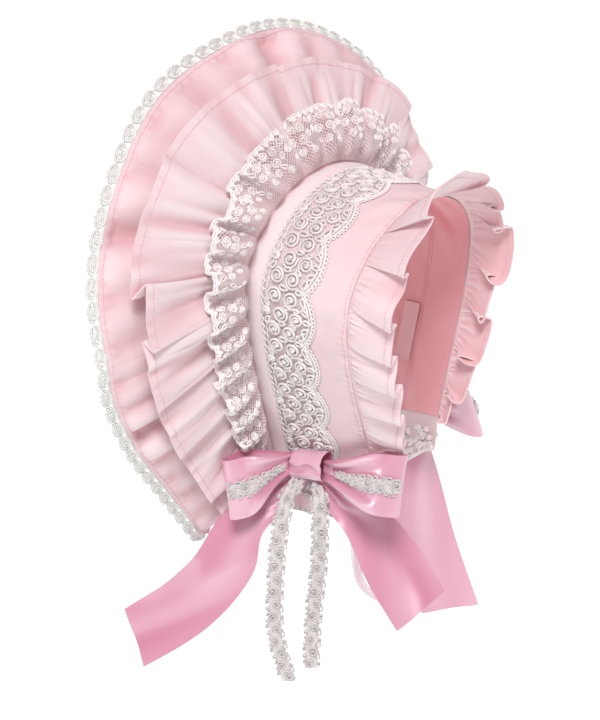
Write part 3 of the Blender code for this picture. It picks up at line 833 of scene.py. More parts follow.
def bumped(tree, shader, height, distance, strength):
    """Fine relief on a shader from a height."""
    bump = node(tree, "ShaderNodeBump", {"Height": height, "Distance": distance, "Strength": strength})
    tree.links.new(bump.outputs[0], shader.inputs["Normal"])


def woven_finish(name, colour, roughness=0.88, sheen=0.25, threads=2200.0):
    """Plain woven cotton on the piece's own flat map, with painted shade in the valleys of its folds and painted light
    on their ridges.
    """
    finish, tree, shader, coordinates = new_finish(name, roughness, sheen, 0.25)
    shader.inputs["Subsurface Weight"].default_value = 0.13
    shader.inputs["Subsurface Radius"].default_value = (0.0050, 0.0018, 0.0020)
    shader.inputs["Subsurface Scale"].default_value = 1.0
    weave = placed_group(tree, "Plain weave", coordinates.outputs["UV"], Threads=threads)
    dye = dye_mask(tree, coordinates, 12.0)
    deep = deepened(colour, 1.35)
    shaded = tinted(tree, weave.outputs["Shade"], scaled(deep, 0.93), tinted(tree, dye, deep, colour))
    # Painted shade: richer pink in the fold valleys; painted light: paler on the ridges
    folded = painted_fold_shade(tree, shaded, deepened(colour, 2.4), deepened(colour, 0.6), 0.70, 0.50)
    tree.links.new(folded, shader.inputs["Base Color"])
    bumped(tree, shader, weave.outputs["Height"], 0.00006, 0.8)
    roughened(tree, shader, dye, roughness - 0.05, roughness + 0.05)
    return finish


def satin_finish(name, colour):
    """Smooth satin: long floats along the ribbon that shine, a slightly deeper tone in places, and painted shade in
    the valleys of its folds with painted highlights on their ridges.
    """
    finish, tree, shader, coordinates = new_finish(name, 0.3, 0.25, 1.0)
    shader.inputs["Sheen Tint"].default_value = (1.0, 0.85, 0.92, 1.0)
    shader.inputs["IOR"].default_value = 1.7
    shader.inputs["Anisotropic"].default_value = 0.5
    shader.inputs["Coat Weight"].default_value = 0.7
    shader.inputs["Coat Roughness"].default_value = 0.18
    weave = placed_group(tree, "Plain weave", coordinates.outputs["UV"], Threads=3600.0, Slub=0.05)
    base = tinted(tree, dye_mask(tree, coordinates, 22.0), deepened(colour, 1.15), colour)
    shaded = tinted(tree, weave.outputs["Shade"], scaled(colour, 0.94), base)
    # Painted shade: deeper pink in the fold valleys; painted highlight: paler on the ridges
    folded = painted_fold_shade(tree, shaded, deepened(colour, 1.5), deepened(colour, 0.45), 0.8, 0.5)
    tree.links.new(folded, shader.inputs["Base Color"])
    roughened(tree, shader, weave.outputs["Shade"], 0.22, 0.34)
    bumped(tree, shader, weave.outputs["Height"], 0.00003, 0.15)
    return finish


def net_finish(name, colour, cell, thread):
    """Fine net with open holes, on the piece's own flat map."""
    finish, tree, shader, coordinates = new_finish(name, 0.85, 0.2, 0.2)
    net = placed_group(tree, "Netted ground", coordinates.outputs["UV"], Cells=1.0 / cell, Thread=thread)
    dyed = tinted(tree, dye_mask(tree, coordinates, 30.0), scaled(colour, 0.95), colour)
    tree.links.new(dyed, shader.inputs["Base Color"])
    tree.links.new(net.outputs["Mask"], shader.inputs["Alpha"])
    bumped(tree, shader, net.outputs["Height"], 0.0001, 0.5)
    return finish


def cord_finish(name, colour, scale=900.0, roughness=0.8):
    """Twisted cotton cord or sewing thread."""
    finish, tree, shader, coordinates = new_finish(name, roughness, 0.25, 0.25)
    twist = placed_group(tree, "Twisted thread", coordinates.outputs["Object"], Scale=scale)
    tree.links.new(tinted(tree, twist.outputs["Shade"], scaled(colour, 0.9), colour), shader.inputs["Base Color"])
    bumped(tree, shader, twist.outputs["Height"], 0.00015, 0.6)
    return finish


def settings():
    return bpy.context.scene.headband_sizes, bpy.context.scene.headband_colours


def finish_named(name):
    """One of the object's finishes, made when first asked for."""
    if name in bpy.data.materials:
        return bpy.data.materials[name]
    sizes, colours = settings()
    cotton, lining, lace = tuple(colours.cotton), tuple(colours.lining), tuple(colours.lace)
    makers = {
        "Pale cotton": (woven_finish, cotton),
        # A deeper copy of the pale cotton: mostly painted shade for the brim lying under the wide frill, partly the
        # deeper tone of its two layers
        "Brim cotton": (woven_finish, deepened(cotton, 1.1)),
        "Lining cotton": (woven_finish, lining, 0.92, 0.2),
        "Tab cotton": (woven_finish, deepened(lining, 0.75), 0.88, 0.25, 1500.0),
        "Satin ribbon": (satin_finish, tuple(colours.satin)),
        "Lace net": (net_finish, (1.0, 0.90, 0.905), sizes.net_cell, 0.09),
        # The lace colour darkened: painted shade on the ground of the narrow laces
        "Close net": (net_finish, scaled(lace, 0.78), sizes.net_cell, 0.42),
        # The lace colour darkened: painted shade on the cords of the lace tails and loops
        "Strip cord": (cord_finish, scaled(lace, 0.74)),
        # The lace colour lightened: painted light on the lace frill's flowers, which lie in shade
        "Bright cord": (cord_finish, scaled(lace, 1.09)),
        "Lace cord": (cord_finish, lace),
        "Brim edging": (cord_finish, tuple(colours.edging)),
        "Sewing thread": (cord_finish, tuple(colours.thread), 2500.0, 0.7),
    }
    maker, *values = makers[name]
    return maker(name, *values)


def declare(piece, nodes):
    """Hides the frame's parts that a sheet of cloth stands for."""
    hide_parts(*nodes)


def even_places(count):
    """Places along the crown's arch at equal distances over it."""
    fine = np.linspace(-1.0, 1.0, 2001)
    line, _ = arch(fine, 0.0 * fine)
    travelled = travelled_along(line)
    return np.interp(np.linspace(0.0, travelled[-1], count), travelled, fine)


def grid(columns, rows):
    """Column values by row shares, as two arrays of one shape."""
    return np.meshgrid(columns, rows)


def panel_height():
    """Places along the brim and the wide frill's hem height over it there, in millimetres."""
    places, heights = [], []
    rows = rows_of(TUCKS)
    for here, after in zip(rows, rows[1:]):
        for share in np.linspace(0.0, 1.0, 9):
            places.append(mix(here[0] + 0.007, after[0] - 0.007, share))
            heights.append(mix(here[2], after[1], float(smooth(share))))
    return np.array(places), np.array(heights)


def wide_path():
    """The wide frill's hem from right to left: its place, its place at the seam, height and reach."""
    rows = rows_of(TUCKS)
    knots = [(rows[0][0], rows[0][0], rows[0][2], rows[0][4])]
    for place, right_height, left_height, right_reach, left_reach, overlap in rows[1:-1]:
        spot, hem = np.array([place]), np.array([0.8])
        speed = np.linalg.norm(brim_point(spot + 0.01, hem, 0.0) - brim_point(spot - 0.01, hem, 0.0)) / 0.02
        half = overlap * MM / speed / 2
        knots.append((place + half, place, right_height, right_reach))
        knots.append((place - half, place, left_height, left_reach))
    knots.append((rows[-1][0], rows[-1][0], rows[-1][1], rows[-1][3]))
    path = []
    for number, (here, after) in enumerate(zip(knots, knots[1:])):
        steps = 9 if number % 2 else max(6, round(abs(after[0] - here[0]) / 0.0034))
        for share in np.linspace(0.0, 1.0, steps, endpoint=False):
            even = float(smooth(share))
            path.append((mix(here[0], after[0], share), mix(here[1], after[1], share),
                         mix(here[2], after[2], even), mix(here[3], after[3], even)))
    path.append(knots[-1])
    rounded = rounded_path(np.array(path), (0.05, 0.12, 0.2, 0.26, 0.2, 0.12, 0.05))
    rounded[:, 3] *= 1.0 - 0.22 * corner_share(rounded[:, 0]) ** 2
    return rounded.T


class HEADBAND_OT_brim(bpy.types.Operator):
    """Make the brim, its looped edging and its hem stitches"""

    bl_idname = "headband.make_brim"
    bl_label = "Brim"

    # The brim's thickness at its hem, its stitches' inset, and the edging's width and count of loops
    hem_thick = 0.0012
    hem_inset = 0.0036
    edging_width = 0.0092
    edging_loops = 64

    def execute(self, context):
        place, share = grid(np.linspace(-1.0, 1.0, 541), np.linspace(0.0, 1.0, 36) ** 0.85)
        reach = share * brim_end(place)
        inside = (1.0 - share) * brim_depth(place) / MM
        thick = mix(self.hem_thick, BRIM_THICK, smooth(inside / 7.0))
        low = smooth((np.abs(place) - 0.30) / 0.3)
        outer_part = smooth((share - 0.6) / 0.2)
        folds = mix(4.0, 5.4, low) * wobble(place * 29.0, 3.0) * outer_part
        folds = (folds + 0.7 * creases(place * 30.0, 9.0) * outer_part) * smooth(inside / 9.0)
        puckers = 0.32 * np.sin(place * 420.0 + 3.0 * wobble(place * 30.0, 1.0)) * np.exp(-((inside - 5.0) / 3.0) ** 2)
        height = (BRIM_THICK - thick) / 2 + (folds + puckers) * MM
        patch = Patch(brim_point(place, reach, height), flip=True)
        brim = cloth_piece("brim_cloth", patch, thick, finish_named("Brim cotton"))
        stitches = hem_stitches("brim_stitches", patch, thick, (1.0, 0.0), self.hem_inset)
        declare(brim, ["brim"])
        self.edging()
        return {"FINISHED"}

    def edging(self):
        """Loops of three rings each with small loops on them, side by side on a cord along the hem."""
        place, out = grid(np.linspace(-1.0, 1.0, 621), np.linspace(0.0, 1.0, 3))
        reach = brim_end(place) + (0.0002 + self.edging_width * out) / brim_depth(place)
        patch = Patch(brim_point(place, reach, 0.9 * MM), flip=True)
        cords = Cords()
        angle = np.linspace(0.0, 2 * math.pi, 14, endpoint=False)
        scallop = np.stack([7.2 * np.cos(angle), 3.7 * np.sin(angle) + 0.9 * np.cos(angle) ** 2], axis=1)
        step = patch.length / self.edging_loops
        for k in range(self.edging_loops):
            middle = (k + 0.5) * step
            lay(cords, patch, scallop, middle, 3.9, 0, 0.0010, 0.0011, True)
            lay(cords, patch, scallop * (0.68, 0.62), middle, 3.7, 0, 0.0010, 0.0011, True, 4)
            lay(cords, patch, scallop[::2] * (0.32, 0.26), middle, 3.6, 0, 0.0010, 0.0013, True, 4)
            for turn in (35, 60, 90, 120, 145):
                tip = (7.3 * math.cos(math.radians(turn)), 4.3 * math.sin(math.radians(turn)))
                lay(cords, patch, ring(0.8, 6), middle + tip[0] * MM, 4.1 + tip[1], 0, 0.0005, 0.0006, True, 4)
        along = np.linspace(0.0, patch.length, 620)
        point, normal = patch.at(along, np.full_like(along, 0.03))
        cords.add(point + normal * 0.4 * MM, normal, 0.0007, 0.0008)
        edging = cords.piece("brim_edging", finish_named("Brim edging"), "lace")
        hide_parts("brim_edge_lace")


class HEADBAND_OT_wide_frill(bpy.types.Operator):
    """Make the wide tucked frill on the brim"""

    bl_idname = "headband.make_wide_frill"
    bl_label = "Wide frill"

    # Places of the deep valleys, and in millimetres the turned hem's width and its stitches' inset
    valleys = (0.19, 0.27, 0.05, -0.09, -0.22)
    hem_width = 6.0
    hem_inset = 5.2

    def execute(self, context):
        hem_place, seam_place, hem_height, hem_reach = wide_path()
        share = np.linspace(0.0, 1.0, 26)[:, None]
        place = seam_place + (hem_place - seam_place) * share ** 0.6
        start = frill_root(np.clip(place, -1.0, 1.0))
        reach = mix(start, hem_reach[None], share)
        travelled = seam_place * 250.0
        gathers = 1.1 * np.sin(travelled * 0.72 + 2.5 * wobble(travelled * 0.13, 2.0)) * (1.0 - share) ** 1.1
        low = 1.0 + 0.3 * smooth((np.abs(seam_place) - 0.45) / 0.25)
        fading = smooth(share * 2.2) * (1.0 - 0.6 * smooth((share - 0.6) / 0.4))
        folds = 4.6 * low * wobble(seam_place * 24.0, 5.0) * fading
        band = np.exp(-(((1.0 - share) * 90.0 - 4.0) / 2.6) ** 2)
        flutter = 0.8 * wobble(seam_place * 70.0, 7.0) * smooth((share - 0.6) / 0.4)
        drawn = 3.0 * creases(seam_place * 17.0, 2.0) * (1.0 - smooth((share - 0.65) / 0.35))
        for valley in self.valleys:
            drawn = drawn - 5.0 * np.exp(-((seam_place - valley) / 0.012) ** 2) * np.sin(math.pi * share) ** 0.8
        puckers = 0.22 * np.sin(travelled * 1.9 + 2.0 * wobble(travelled * 0.3, 4.0)) * band
        lift = hem_height * share ** 1.3 + 2.2 * smooth(share * 5) + gathers + folds + flutter + puckers + drawn
        height = BRIM_THICK + (0.9 + np.maximum(lift * smooth(share * 8), 0.0)) * MM
        patch = Patch(brim_point(np.clip(place, -1.0, 1.0), reach, height), flip=True)
        hemmed_frill("wide_frill", "wide_ruffle", patch, share, self.hem_width, self.hem_inset)
        return {"FINISHED"}


class HEADBAND_OT_lace_frill(bpy.types.Operator):
    """Make the gathered lace round the crown"""

    bl_idname = "headband.make_lace_frill"
    bl_label = "Lace frill"

    # Puffs round the brim, and the reach of the hem
    folds = 27
    reach = 0.37

    def execute(self, context):
        sizes, _ = settings()
        seam_place, share = grid(np.linspace(-1.0, 1.0, self.folds * 26 + 1), np.linspace(0.0, 1.0, 16))
        phase = math.pi * self.folds * (seam_place + 1.0) + 0.5 * wobble(seam_place * 23.0, 4.0)
        lean = 0.0072 * np.sin(2.0 * phase) + 0.0045 * wobble(seam_place * 37.0, 8.0)
        ends = 1.0 - 0.6 * smooth((np.abs(seam_place) - 0.80) / 0.12)
        place = np.clip(seam_place + lean * ends * share ** 0.8, -1.0, 1.0)
        start = frill_root(place)
        hem = self.reach * (1.0 + 0.05 * wobble(seam_place * 29.0, 6.0))
        reach = mix(start, hem, share)
        places, heights = panel_height()
        beside = [np.interp(place + shift, places, heights) for shift in (-0.025, -0.012, 0.0, 0.012, 0.025)]
        along = np.clip(reach - start, 0.0, None) / (0.8 - start)
        under = np.max(beside, axis=0) * along ** 1.3
        wave = 0.5 - 0.5 * np.cos(phase)
        tall = 9.0 * (1.0 + 0.25 * wobble(seam_place * 17.0, 9.0)) * ends
        puff = (2.0 + 9.0 * wave ** 0.6) * ends * np.sin(math.pi * share ** 0.55) ** 0.8
        lift = (1.0 + tall * wave) * share + puff + 0.6 * smooth(share * 4.0)
        height = BRIM_THICK + (1.9 + under + lift) * MM
        patch = Patch(brim_point(place, reach, height), flip=True, measured=0.7)
        net = cloth_piece("lace_frill_net", patch, sizes.net_thick, finish_named("Lace net"), lift=0.5)
        cords = Cords()
        width = patch.width / MM
        roses, leaves = placed_from_hem(FRILL_ROSES, width), placed_from_hem(FRILL_LEAVES, width)
        for face in (patch, patch.back()):
            lay_scallops(cords, face, 5.6, width - 2.8, 2.8, sizes.cord * 0.95, picots=2, inner=2.0)
            lay_flowers(cords, face, FRILL_REPEAT, roses, leaves, sizes.cord * 0.65, steps=13, rise=0.9)
        flowers = cords.piece("lace_frill_flowers", finish_named("Bright cord"), "lace")
        declare(net, ["lace_ruffle"])
        return {"FINISHED"}


class HEADBAND_OT_crown(bpy.types.Operator):
    """Make the crown's cotton, its front strip, its lining and the bare tab"""

    bl_idname = "headband.make_crown"
    bl_label = "Crown"

    # The strip's width, how far the seam in the lining lies behind the crown's middle and half the gap of
    # its two rows, then the tab's place and half length as places along the crown, and its half width
    strip_width = 0.0120
    lining_seam = 0.0095
    seam_half_gap = 0.0017
    tab_place = -0.77
    tab_half_length = 0.084
    tab_half_width = 0.0065

    def execute(self, context):
        cotton = finish_named("Pale cotton")
        half = CROWN_DEPTH / 2
        place, y = grid(even_places(341), np.linspace(-half, half, 32))
        behind = smooth((y - 0.016) / 0.008)
        seam = np.exp(-((half - y) / 0.007) ** 2)
        ripples = np.sin(place * 330.0 + 2.0 * wobble(place * 60.0, 4.0)) + creases(place * 26.0, 6.0)
        pull = 0.9 * wobble(place * 22.0 + y * 60.0, 2.0) * behind + 0.5 * ripples * seam
        patch = Patch(crown_point(place, y, SHELL_OFF))
        wall = cloth_piece("crown_cloth", patch, (2.0 + pull) * MM, cotton)
        seams = Cords()
        outer = Patch(patch.points + patch.normals * ((2.0 + pull) * MM)[..., None])
        stitch_row(seams, outer, 1.0 - 2.2 * MM / patch.width)
        declare(wall, ["crown_shell"])

        place, share = grid(even_places(461), np.linspace(0.0, 1.0, 14))
        bulge = np.sin(math.pi * share) ** 0.6
        pleats = 0.16 * np.sin(place * 300.0 + 2 * wobble(place * 40.0, 3.0)) * (1.0 - bulge * 0.7)
        off = TRIM_OFF + (1.9 * bulge + pleats - 0.4) * MM
        strip = Patch(crown_point(place, -half + self.strip_width * share, off))
        band = cloth_piece("front_strip_cloth", strip, 0.0008, cotton)
        stitch_row(seams, strip, 0.86)
        seams.piece("crown_stitches", finish_named("Sewing thread"), "cotton")
        declare(band, ["front_band"])

        place, y = grid(even_places(241), np.linspace(-half + 0.0006, half - 0.0006, 32))
        middle = self.lining_seam + 0.0008 * wobble(place * 9.0, 1.0)
        groove = 0.35 * np.exp(-((y - middle) / 0.0011) ** 2)
        slack = 0.3 * wobble(place * 14.0 + y * 90.0, 6.0) * smooth((half - 0.004 - np.abs(y)) / 0.02)
        inner = Patch(crown_point(place, y, (0.3 + groove + slack) * MM))
        lining = cloth_piece("lining_cloth", inner, 0.0007, finish_named("Lining cotton"))
        inside_seams = Cords()
        facing = inner.back()
        for offset in (-self.seam_half_gap, self.seam_half_gap):
            stitch_row(inside_seams, facing, (self.lining_seam + offset + half) / CROWN_DEPTH)
        inside_seams.piece("lining_stitches", finish_named("Sewing thread"), "lining")
        declare(lining, ["lining"])
        self.tab()
        return {"FINISHED"}

    def tab(self):
        """Bare woven tab with turned ends, sewn to the lining."""
        places = np.linspace(self.tab_place - self.tab_half_length, self.tab_place + self.tab_half_length, 40)
        place, y = grid(places, 0.001 + np.linspace(-self.tab_half_width, self.tab_half_width, 16))
        ends = 0.25 * np.exp(-((np.abs(place - self.tab_place) - self.tab_half_length) / 0.008) ** 2)
        patch = Patch(crown_point(place, y, -(0.45 + ends) * MM), flip=True)
        tab = cloth_piece("bare_tab", patch, 0.0004, finish_named("Tab cotton"))
        declare(tab, ["label"])


class HEADBAND_OT_crown_lace(bpy.types.Operator):
    """Make the broad corded lace over the crown"""

    bl_idname = "headband.make_crown_lace"
    bl_label = "Crown lace"

    # Scallops over the crown and small waves of the front edge in each, how far that edge lies behind the
    # crown's, the lace's width in a valley, how far a scallop stands out from it, and the width with cords
    scallops = 13
    front_waves = 7
    front_inset = 0.0126
    valley_width = 0.0350
    scallop_depth = 0.0088
    corded_width = 0.0475

    def execute(self, context):
        sizes, _ = settings()
        front = -CROWN_DEPTH / 2 + self.front_inset
        columns = np.linspace(0.0, 1.0, self.scallops * 26 + 1)
        along, share = grid(columns, np.linspace(0.0, 1.0, 20))
        place = np.interp(along, np.linspace(0.0, 1.0, 801), even_places(801))
        bow = np.abs(np.sin(math.pi * self.scallops * along)) ** 0.7
        width = self.valley_width + self.scallop_depth * bow
        patch = Patch(crown_point(place, front + width * share, TRIM_OFF + 0.15 * MM))
        net = cloth_piece("crown_lace_net", patch, sizes.net_thick, finish_named("Lace net"))
        cords = Cords()
        straight = Patch(crown_point(place, front + self.corded_width * share, TRIM_OFF + 0.45 * MM))
        repeat = straight.length / MM / self.scallops
        lay_flowers(
            cords, straight, repeat, CROWN_ROSES, CROWN_LEAVES, sizes.cord * 1.3, inset=0.0, steps=22, sides=5)
        lay_scallops(cords, straight, repeat, 34.6, 8.6, sizes.cord * 1.1, picots=13, inner=2.4)
        lay_scallops(cords, straight, repeat / self.front_waves, 2.2, -1.8, sizes.cord * 0.9)
        lay_scallops(cords, straight, repeat / self.front_waves, 3.6, 0.8, sizes.cord * 0.8)
        flowers = cords.piece("crown_lace_flowers", finish_named("Lace cord"), "lace")
        declare(net, ["crown_lace"])
        return {"FINISHED"}


class HEADBAND_OT_back_frill(bpy.types.Operator):
    """Make the gathered frill on the crown's back seam"""

    bl_idname = "headband.make_back_frill"
    bl_label = "Back frill"

    # Panels of the near half and lumps of the far half, from the top down: where each ends, and in
    # millimetres its hem's height, its depth, and the depth left between it and the next
    near_panels = (
        ("place", "height", "depth", "between"),
        (0.13, 9.0, 44.0, 44.0), (0.24, 7.0, 43.0, 42.0), (0.38, 10.0, 39.0, 38.0), (0.50, 8.0, 37.0, 37.0),
        (0.61, 10.0, 37.0, 36.5), (0.73, 7.0, 36.0, 35.0), (0.85, 9.0, 32.0, 30.0), (1.0, 3.0, 24.0, 20.0),
    )
    far_lumps = (
        ("place", "height", "depth", "between"),
        (0.09, 3.0, 40.0, 34.0), (0.25, 8.0, 34.0, 22.0), (0.36, 8.0, 27.0, 20.0), (0.53, 13.0, 34.0, 17.0),
        (0.66, 9.0, 25.0, 20.0), (0.79, 12.0, 28.0, 3.0), (0.91, 9.0, 23.0, 9.0), (1.0, 4.0, 12.0, 6.0),
    )
    # In millimetres, the turned hem's width and its stitches' inset
    hem_width = 5.5
    hem_inset = 4.8

    def near_path(self):
        """Hem place, seam place, hem height and depth of the near half, from the top down."""
        path = []
        start = 0.0
        for end, height, depth, between in rows_of(self.near_panels):
            lap = 0.030 if end < 1.0 else 0.0
            for share in np.linspace(0.0, 1.0, max(10, round((end - start) * 150)), endpoint=False):
                rise = height * float(smooth(share * 1.15))
                path.append((mix(start, end + lap, share), mix(start, end, share), rise, depth))
            for share in np.linspace(0.0, 1.0, 9, endpoint=False):
                path.append((mix(end + lap, end, share), end, height * (1.0 - float(smooth(share))), between))
            start = end
        path.append((1.0, 1.0, 0.0, between))
        return np.array(path)

    def far_path(self):
        """The same for the far half, whose hem curls out and back in rounded lumps."""
        path = []
        start, before = 0.0, rows_of(self.near_panels)[0][2]
        for end, height, depth, between in rows_of(self.far_lumps):
            for share in np.linspace(0.0, 1.0, 26, endpoint=False):
                crest = min(1.0, 1.5 * math.sin(math.pi * share ** 0.75))
                curl = (end - start) * (0.30 * math.sin(2.0 * math.pi * share) - 0.16 * crest)
                place = mix(start, end, share)
                deep = mix(mix(before, between, share), depth, crest ** 0.8)
                path.append((place - curl, place, height * math.sin(math.pi * share ** 0.6) ** 1.5, deep))
            start, before = end, between
        path.append((1.0, 1.0, 0.0, before))
        return np.array(path)

    def hem_path(self):
        path = np.concatenate([self.far_path()[::-1] * (-1.0, -1.0, 1.0, 1.0), self.near_path()[1:]])
        return rounded_path(path, (0.06, 0.12, 0.2, 0.24, 0.2, 0.12, 0.06)).T

    def execute(self, context):
        hem_place, seam_place, hem_height, hem_depth = self.hem_path()
        share = np.linspace(0.0, 1.0, 26)[:, None]
        place = np.clip(seam_place + (hem_place - seam_place) * share ** 0.7, -1.0, 1.0)
        top = np.exp(-((seam_place - 0.04) / np.where(seam_place < 0.04, 0.11, 0.17)) ** 2)
        flare = mix(0.008, -0.009, smooth(np.abs(seam_place) / 0.7)) + 0.034 * top
        flare = flare - 0.004 * smooth(-seam_place / 0.4)
        travelled = seam_place * 260.0
        pleats = 0.9 * np.sin(travelled * 1.45 + 2.5 * wobble(travelled * 0.2, 1.0)) * (1.0 - share) ** 2.0
        drawn = 1.5 * creases(travelled / 11.0, 4.0) * (1.0 - smooth((share - 0.3) / 0.5))
        puff = 2.2 * np.sin(math.pi * share ** 0.7)
        soft = 1.2 * wobble(seam_place * 24.0, 6.0) * share
        band = np.exp(-(((1.0 - share) * 36.0 - 4.0) / 2.4) ** 2)
        puckers = 0.2 * np.sin(travelled * 1.9) * band
        rise = (pleats + drawn + puff) * smooth(share * 9) + hem_height * share ** 1.15 + soft + puckers
        off = SHELL_OFF + 0.3 * MM + flare * share ** (1.4 - 0.25 * top) + rise * MM
        depth = hem_depth * MM * (1.0 + 0.035 * wobble(seam_place * 19.0, 7.0))
        y = CROWN_DEPTH / 2 + 0.0003 + depth * share
        patch = Patch(crown_point(place, y, off))
        hemmed_frill("back_frill", "back_ruffle", patch, share, self.hem_width, self.hem_inset)
        return {"FINISHED"}


class HEADBAND_OT_cuffs(bpy.types.Operator):
    """Make the three short frills under each side hem of the crown"""

    bl_idname = "headband.make_cuffs"
    bl_label = "Side frills"

    layers = (
        ("name", "node", "length", "off"),
        ("side_hem", "hem_lace", 0.048, 0.0004),
        ("side_frill", "cuff_frill", 0.043, 0.0023),
        ("side_lace", "cuff_lace", 0.030, 0.0043),
    )

    def execute(self, context):
        sizes, _ = settings()
        for hand, side in SIDES.items():
            for name, node_name, length, off in rows_of(self.layers):
                patch = self.frill(side, length, off)
                piece_name = f"{name}_{hand}"
                if name == "side_frill":
                    piece = cloth_piece(
                        piece_name, patch, sizes.cotton_thick, finish_named("Pale cotton"), lift=0.5)
                    declare(piece, [f"{node_name}_{hand}"])
                    continue
                piece = cloth_piece(piece_name, patch, sizes.net_thick, finish_named("Lace net"), lift=0.5)
                cords = Cords()
                width = patch.width / MM
                roses, leaves = placed_from_hem(FRILL_ROSES, width), placed_from_hem(FRILL_LEAVES, width)
                for face in (patch, patch.back()):
                    lay_scallops(cords, face, 6.0, width - 2.4, 2.0, sizes.cord, picots=2, inner=1.6)
                    lay_flowers(cords, face, FRILL_REPEAT, roses, leaves, sizes.cord * 0.9, rise=1.0)
                flowers = cords.piece(f"{piece_name}_flowers", finish_named("Lace cord"), "lace")
                declare(piece, [f"{node_name}_{hand}"])
        return {"FINISHED"}

    def frill(self, side, length, off):
        across, share = grid(np.linspace(-1.0, 1.0, 101), np.linspace(0.0, 1.0, 16))
        y = across * (CROWN_DEPTH / 2 - 1.0 * MM)
        hem, normal = arch(side + 0.0 * y, y)
        above, _ = arch(side * 0.998 + 0.0 * y, y)
        down = unit(hem - above)
        reach = length * (1.0 - 0.40 * smooth((across - 0.1) / 0.9) - 0.15 * smooth((-across - 0.5) / 0.5))
        phase = math.pi * 4 * (across + 1.0) + 0.5 * wobble(across * 9.0, off * 900)
        distance = 0.6 * MM + reach * share
        flare = 0.20 * distance + 0.0022 * (0.5 - 0.5 * np.cos(phase)) * np.minimum(distance / 0.02, 1.0)
        points = hem + down * distance[..., None] + normal * (off + flare)[..., None]
        return Patch(points, flip=side > 0)


def hand_of(name):
    """The side that a piece's name ends with."""
    return name.rsplit("_", 1)[1]


def from_knot(side, out, back, up):
    x, y, z = KNOT_CENTRE
    return Vector((side * (x + out * MM), y + back * MM, z + up * MM))


def direction(side, out, back, up):
    return Vector((side * out, back, up)).normalized()


def station_at(rows, share):
    """Smooth curve through the stations of a ribbon end."""
    position = min(max(share, 0.0), 1.0) * (len(rows) - 1)
    index = min(int(position), len(rows) - 2)
    t = position - index
    around = [rows[min(max(index + k, 0), len(rows) - 1)] for k in (-1, 0, 1, 2)]
    return [
        0.5 * (2 * b + (c - a) * t + (2 * a - 5 * b + 4 * c - d) * t * t + (3 * b - a - 3 * c + d) * t ** 3)
        for a, b, c, d in zip(*around)
    ]


def tail_patch(side, rows, across_steps, steps, curl=0.0, seed=1.0):
    """Grid of a hanging ribbon end, with a soft roll across it."""
    columns = []
    for share in np.linspace(0.0, 1.0, steps):
        out, back, up, edge_out, edge_back, edge_up, half = station_at(rows, share)
        edge = direction(side, edge_out, edge_back, edge_up)
        ahead = station_at(rows, share + 0.02)[:3]
        behind = station_at(rows, share - 0.02)[:3]
        along = from_knot(side, *ahead) - from_knot(side, *behind)
        face = edge.cross(along).normalized()
        middle = from_knot(side, out, back, up)
        grown = float(smooth(share * 2.5))
        line = []
        for across in np.linspace(-1.0, 1.0, across_steps):
            roll = curl * (math.sin(2.2 * across + 5.0 * share + seed) + 0.5 * math.sin(4.5 * across - 7.0 * share))
            pleat = 1.6 * math.cos(2.5 * math.pi * across) * (1.0 - grown)
            line.append(middle + edge * (across * half * MM) + face * ((roll * grown + pleat) * MM))
        columns.append(line)
    return Patch(np.array([[list(p) for p in line] for line in columns]).transpose(1, 0, 2))


def loop_point(side, row, across, turn, lift=0.0):
    """Point of a ribbon loop: turn runs 0 to 1 from the knot out to the fold and back to the knot."""
    out, back, up, *edge = row
    fold = from_knot(side, out, back, up)
    start = from_knot(side, 0, math.copysign(KNOT_SIZE[1] / 2 / MM - 2.0, back), 0)
    fold_edge = direction(side, *edge)
    reach = math.sin(math.pi * turn)
    width_share = float(smooth(reach * 1.2))
    edge_now = Vector((0, 0, 1)).lerp(fold_edge, width_share).normalized()
    facing = (fold - start).normalized().cross(fold_edge).normalized()
    if facing.x * side < 0:
        facing = -facing
    facing = Vector((side, 0, 0)).lerp(facing, width_share).normalized()
    half = mix(0.0080, RIBBON_HALF_WIDTH, width_share)
    front = turn < 0.5
    swell = 0.0085 * math.sin(2.0 * math.pi * turn)
    puff = 0.0014 * math.cos(math.pi * turn) + swell * (1.0 if front else 0.35)
    pinch = (1.0 - abs(across)) ** 0.9 * (1.0 - float(smooth(reach / 0.78)))
    crease = -pinch * (0.0052 if front else -0.0020)
    ray = math.sin(across * 7.5 + (1.5 if front else 4.0)) * math.sin(math.pi * min(reach * 1.25, 1.0)) ** 0.7
    ray += 0.6 * math.exp(-((across + 0.55 - 0.3 * reach) / 0.12) ** 2) * math.sin(math.pi * min(reach * 1.6, 1.0))
    edge_roll = 0.0012 * across * across * reach
    middle = start.lerp(fold, reach)
    return middle + edge_now * (half * across) + facing * (puff + crease + 0.0011 * ray - edge_roll + lift)


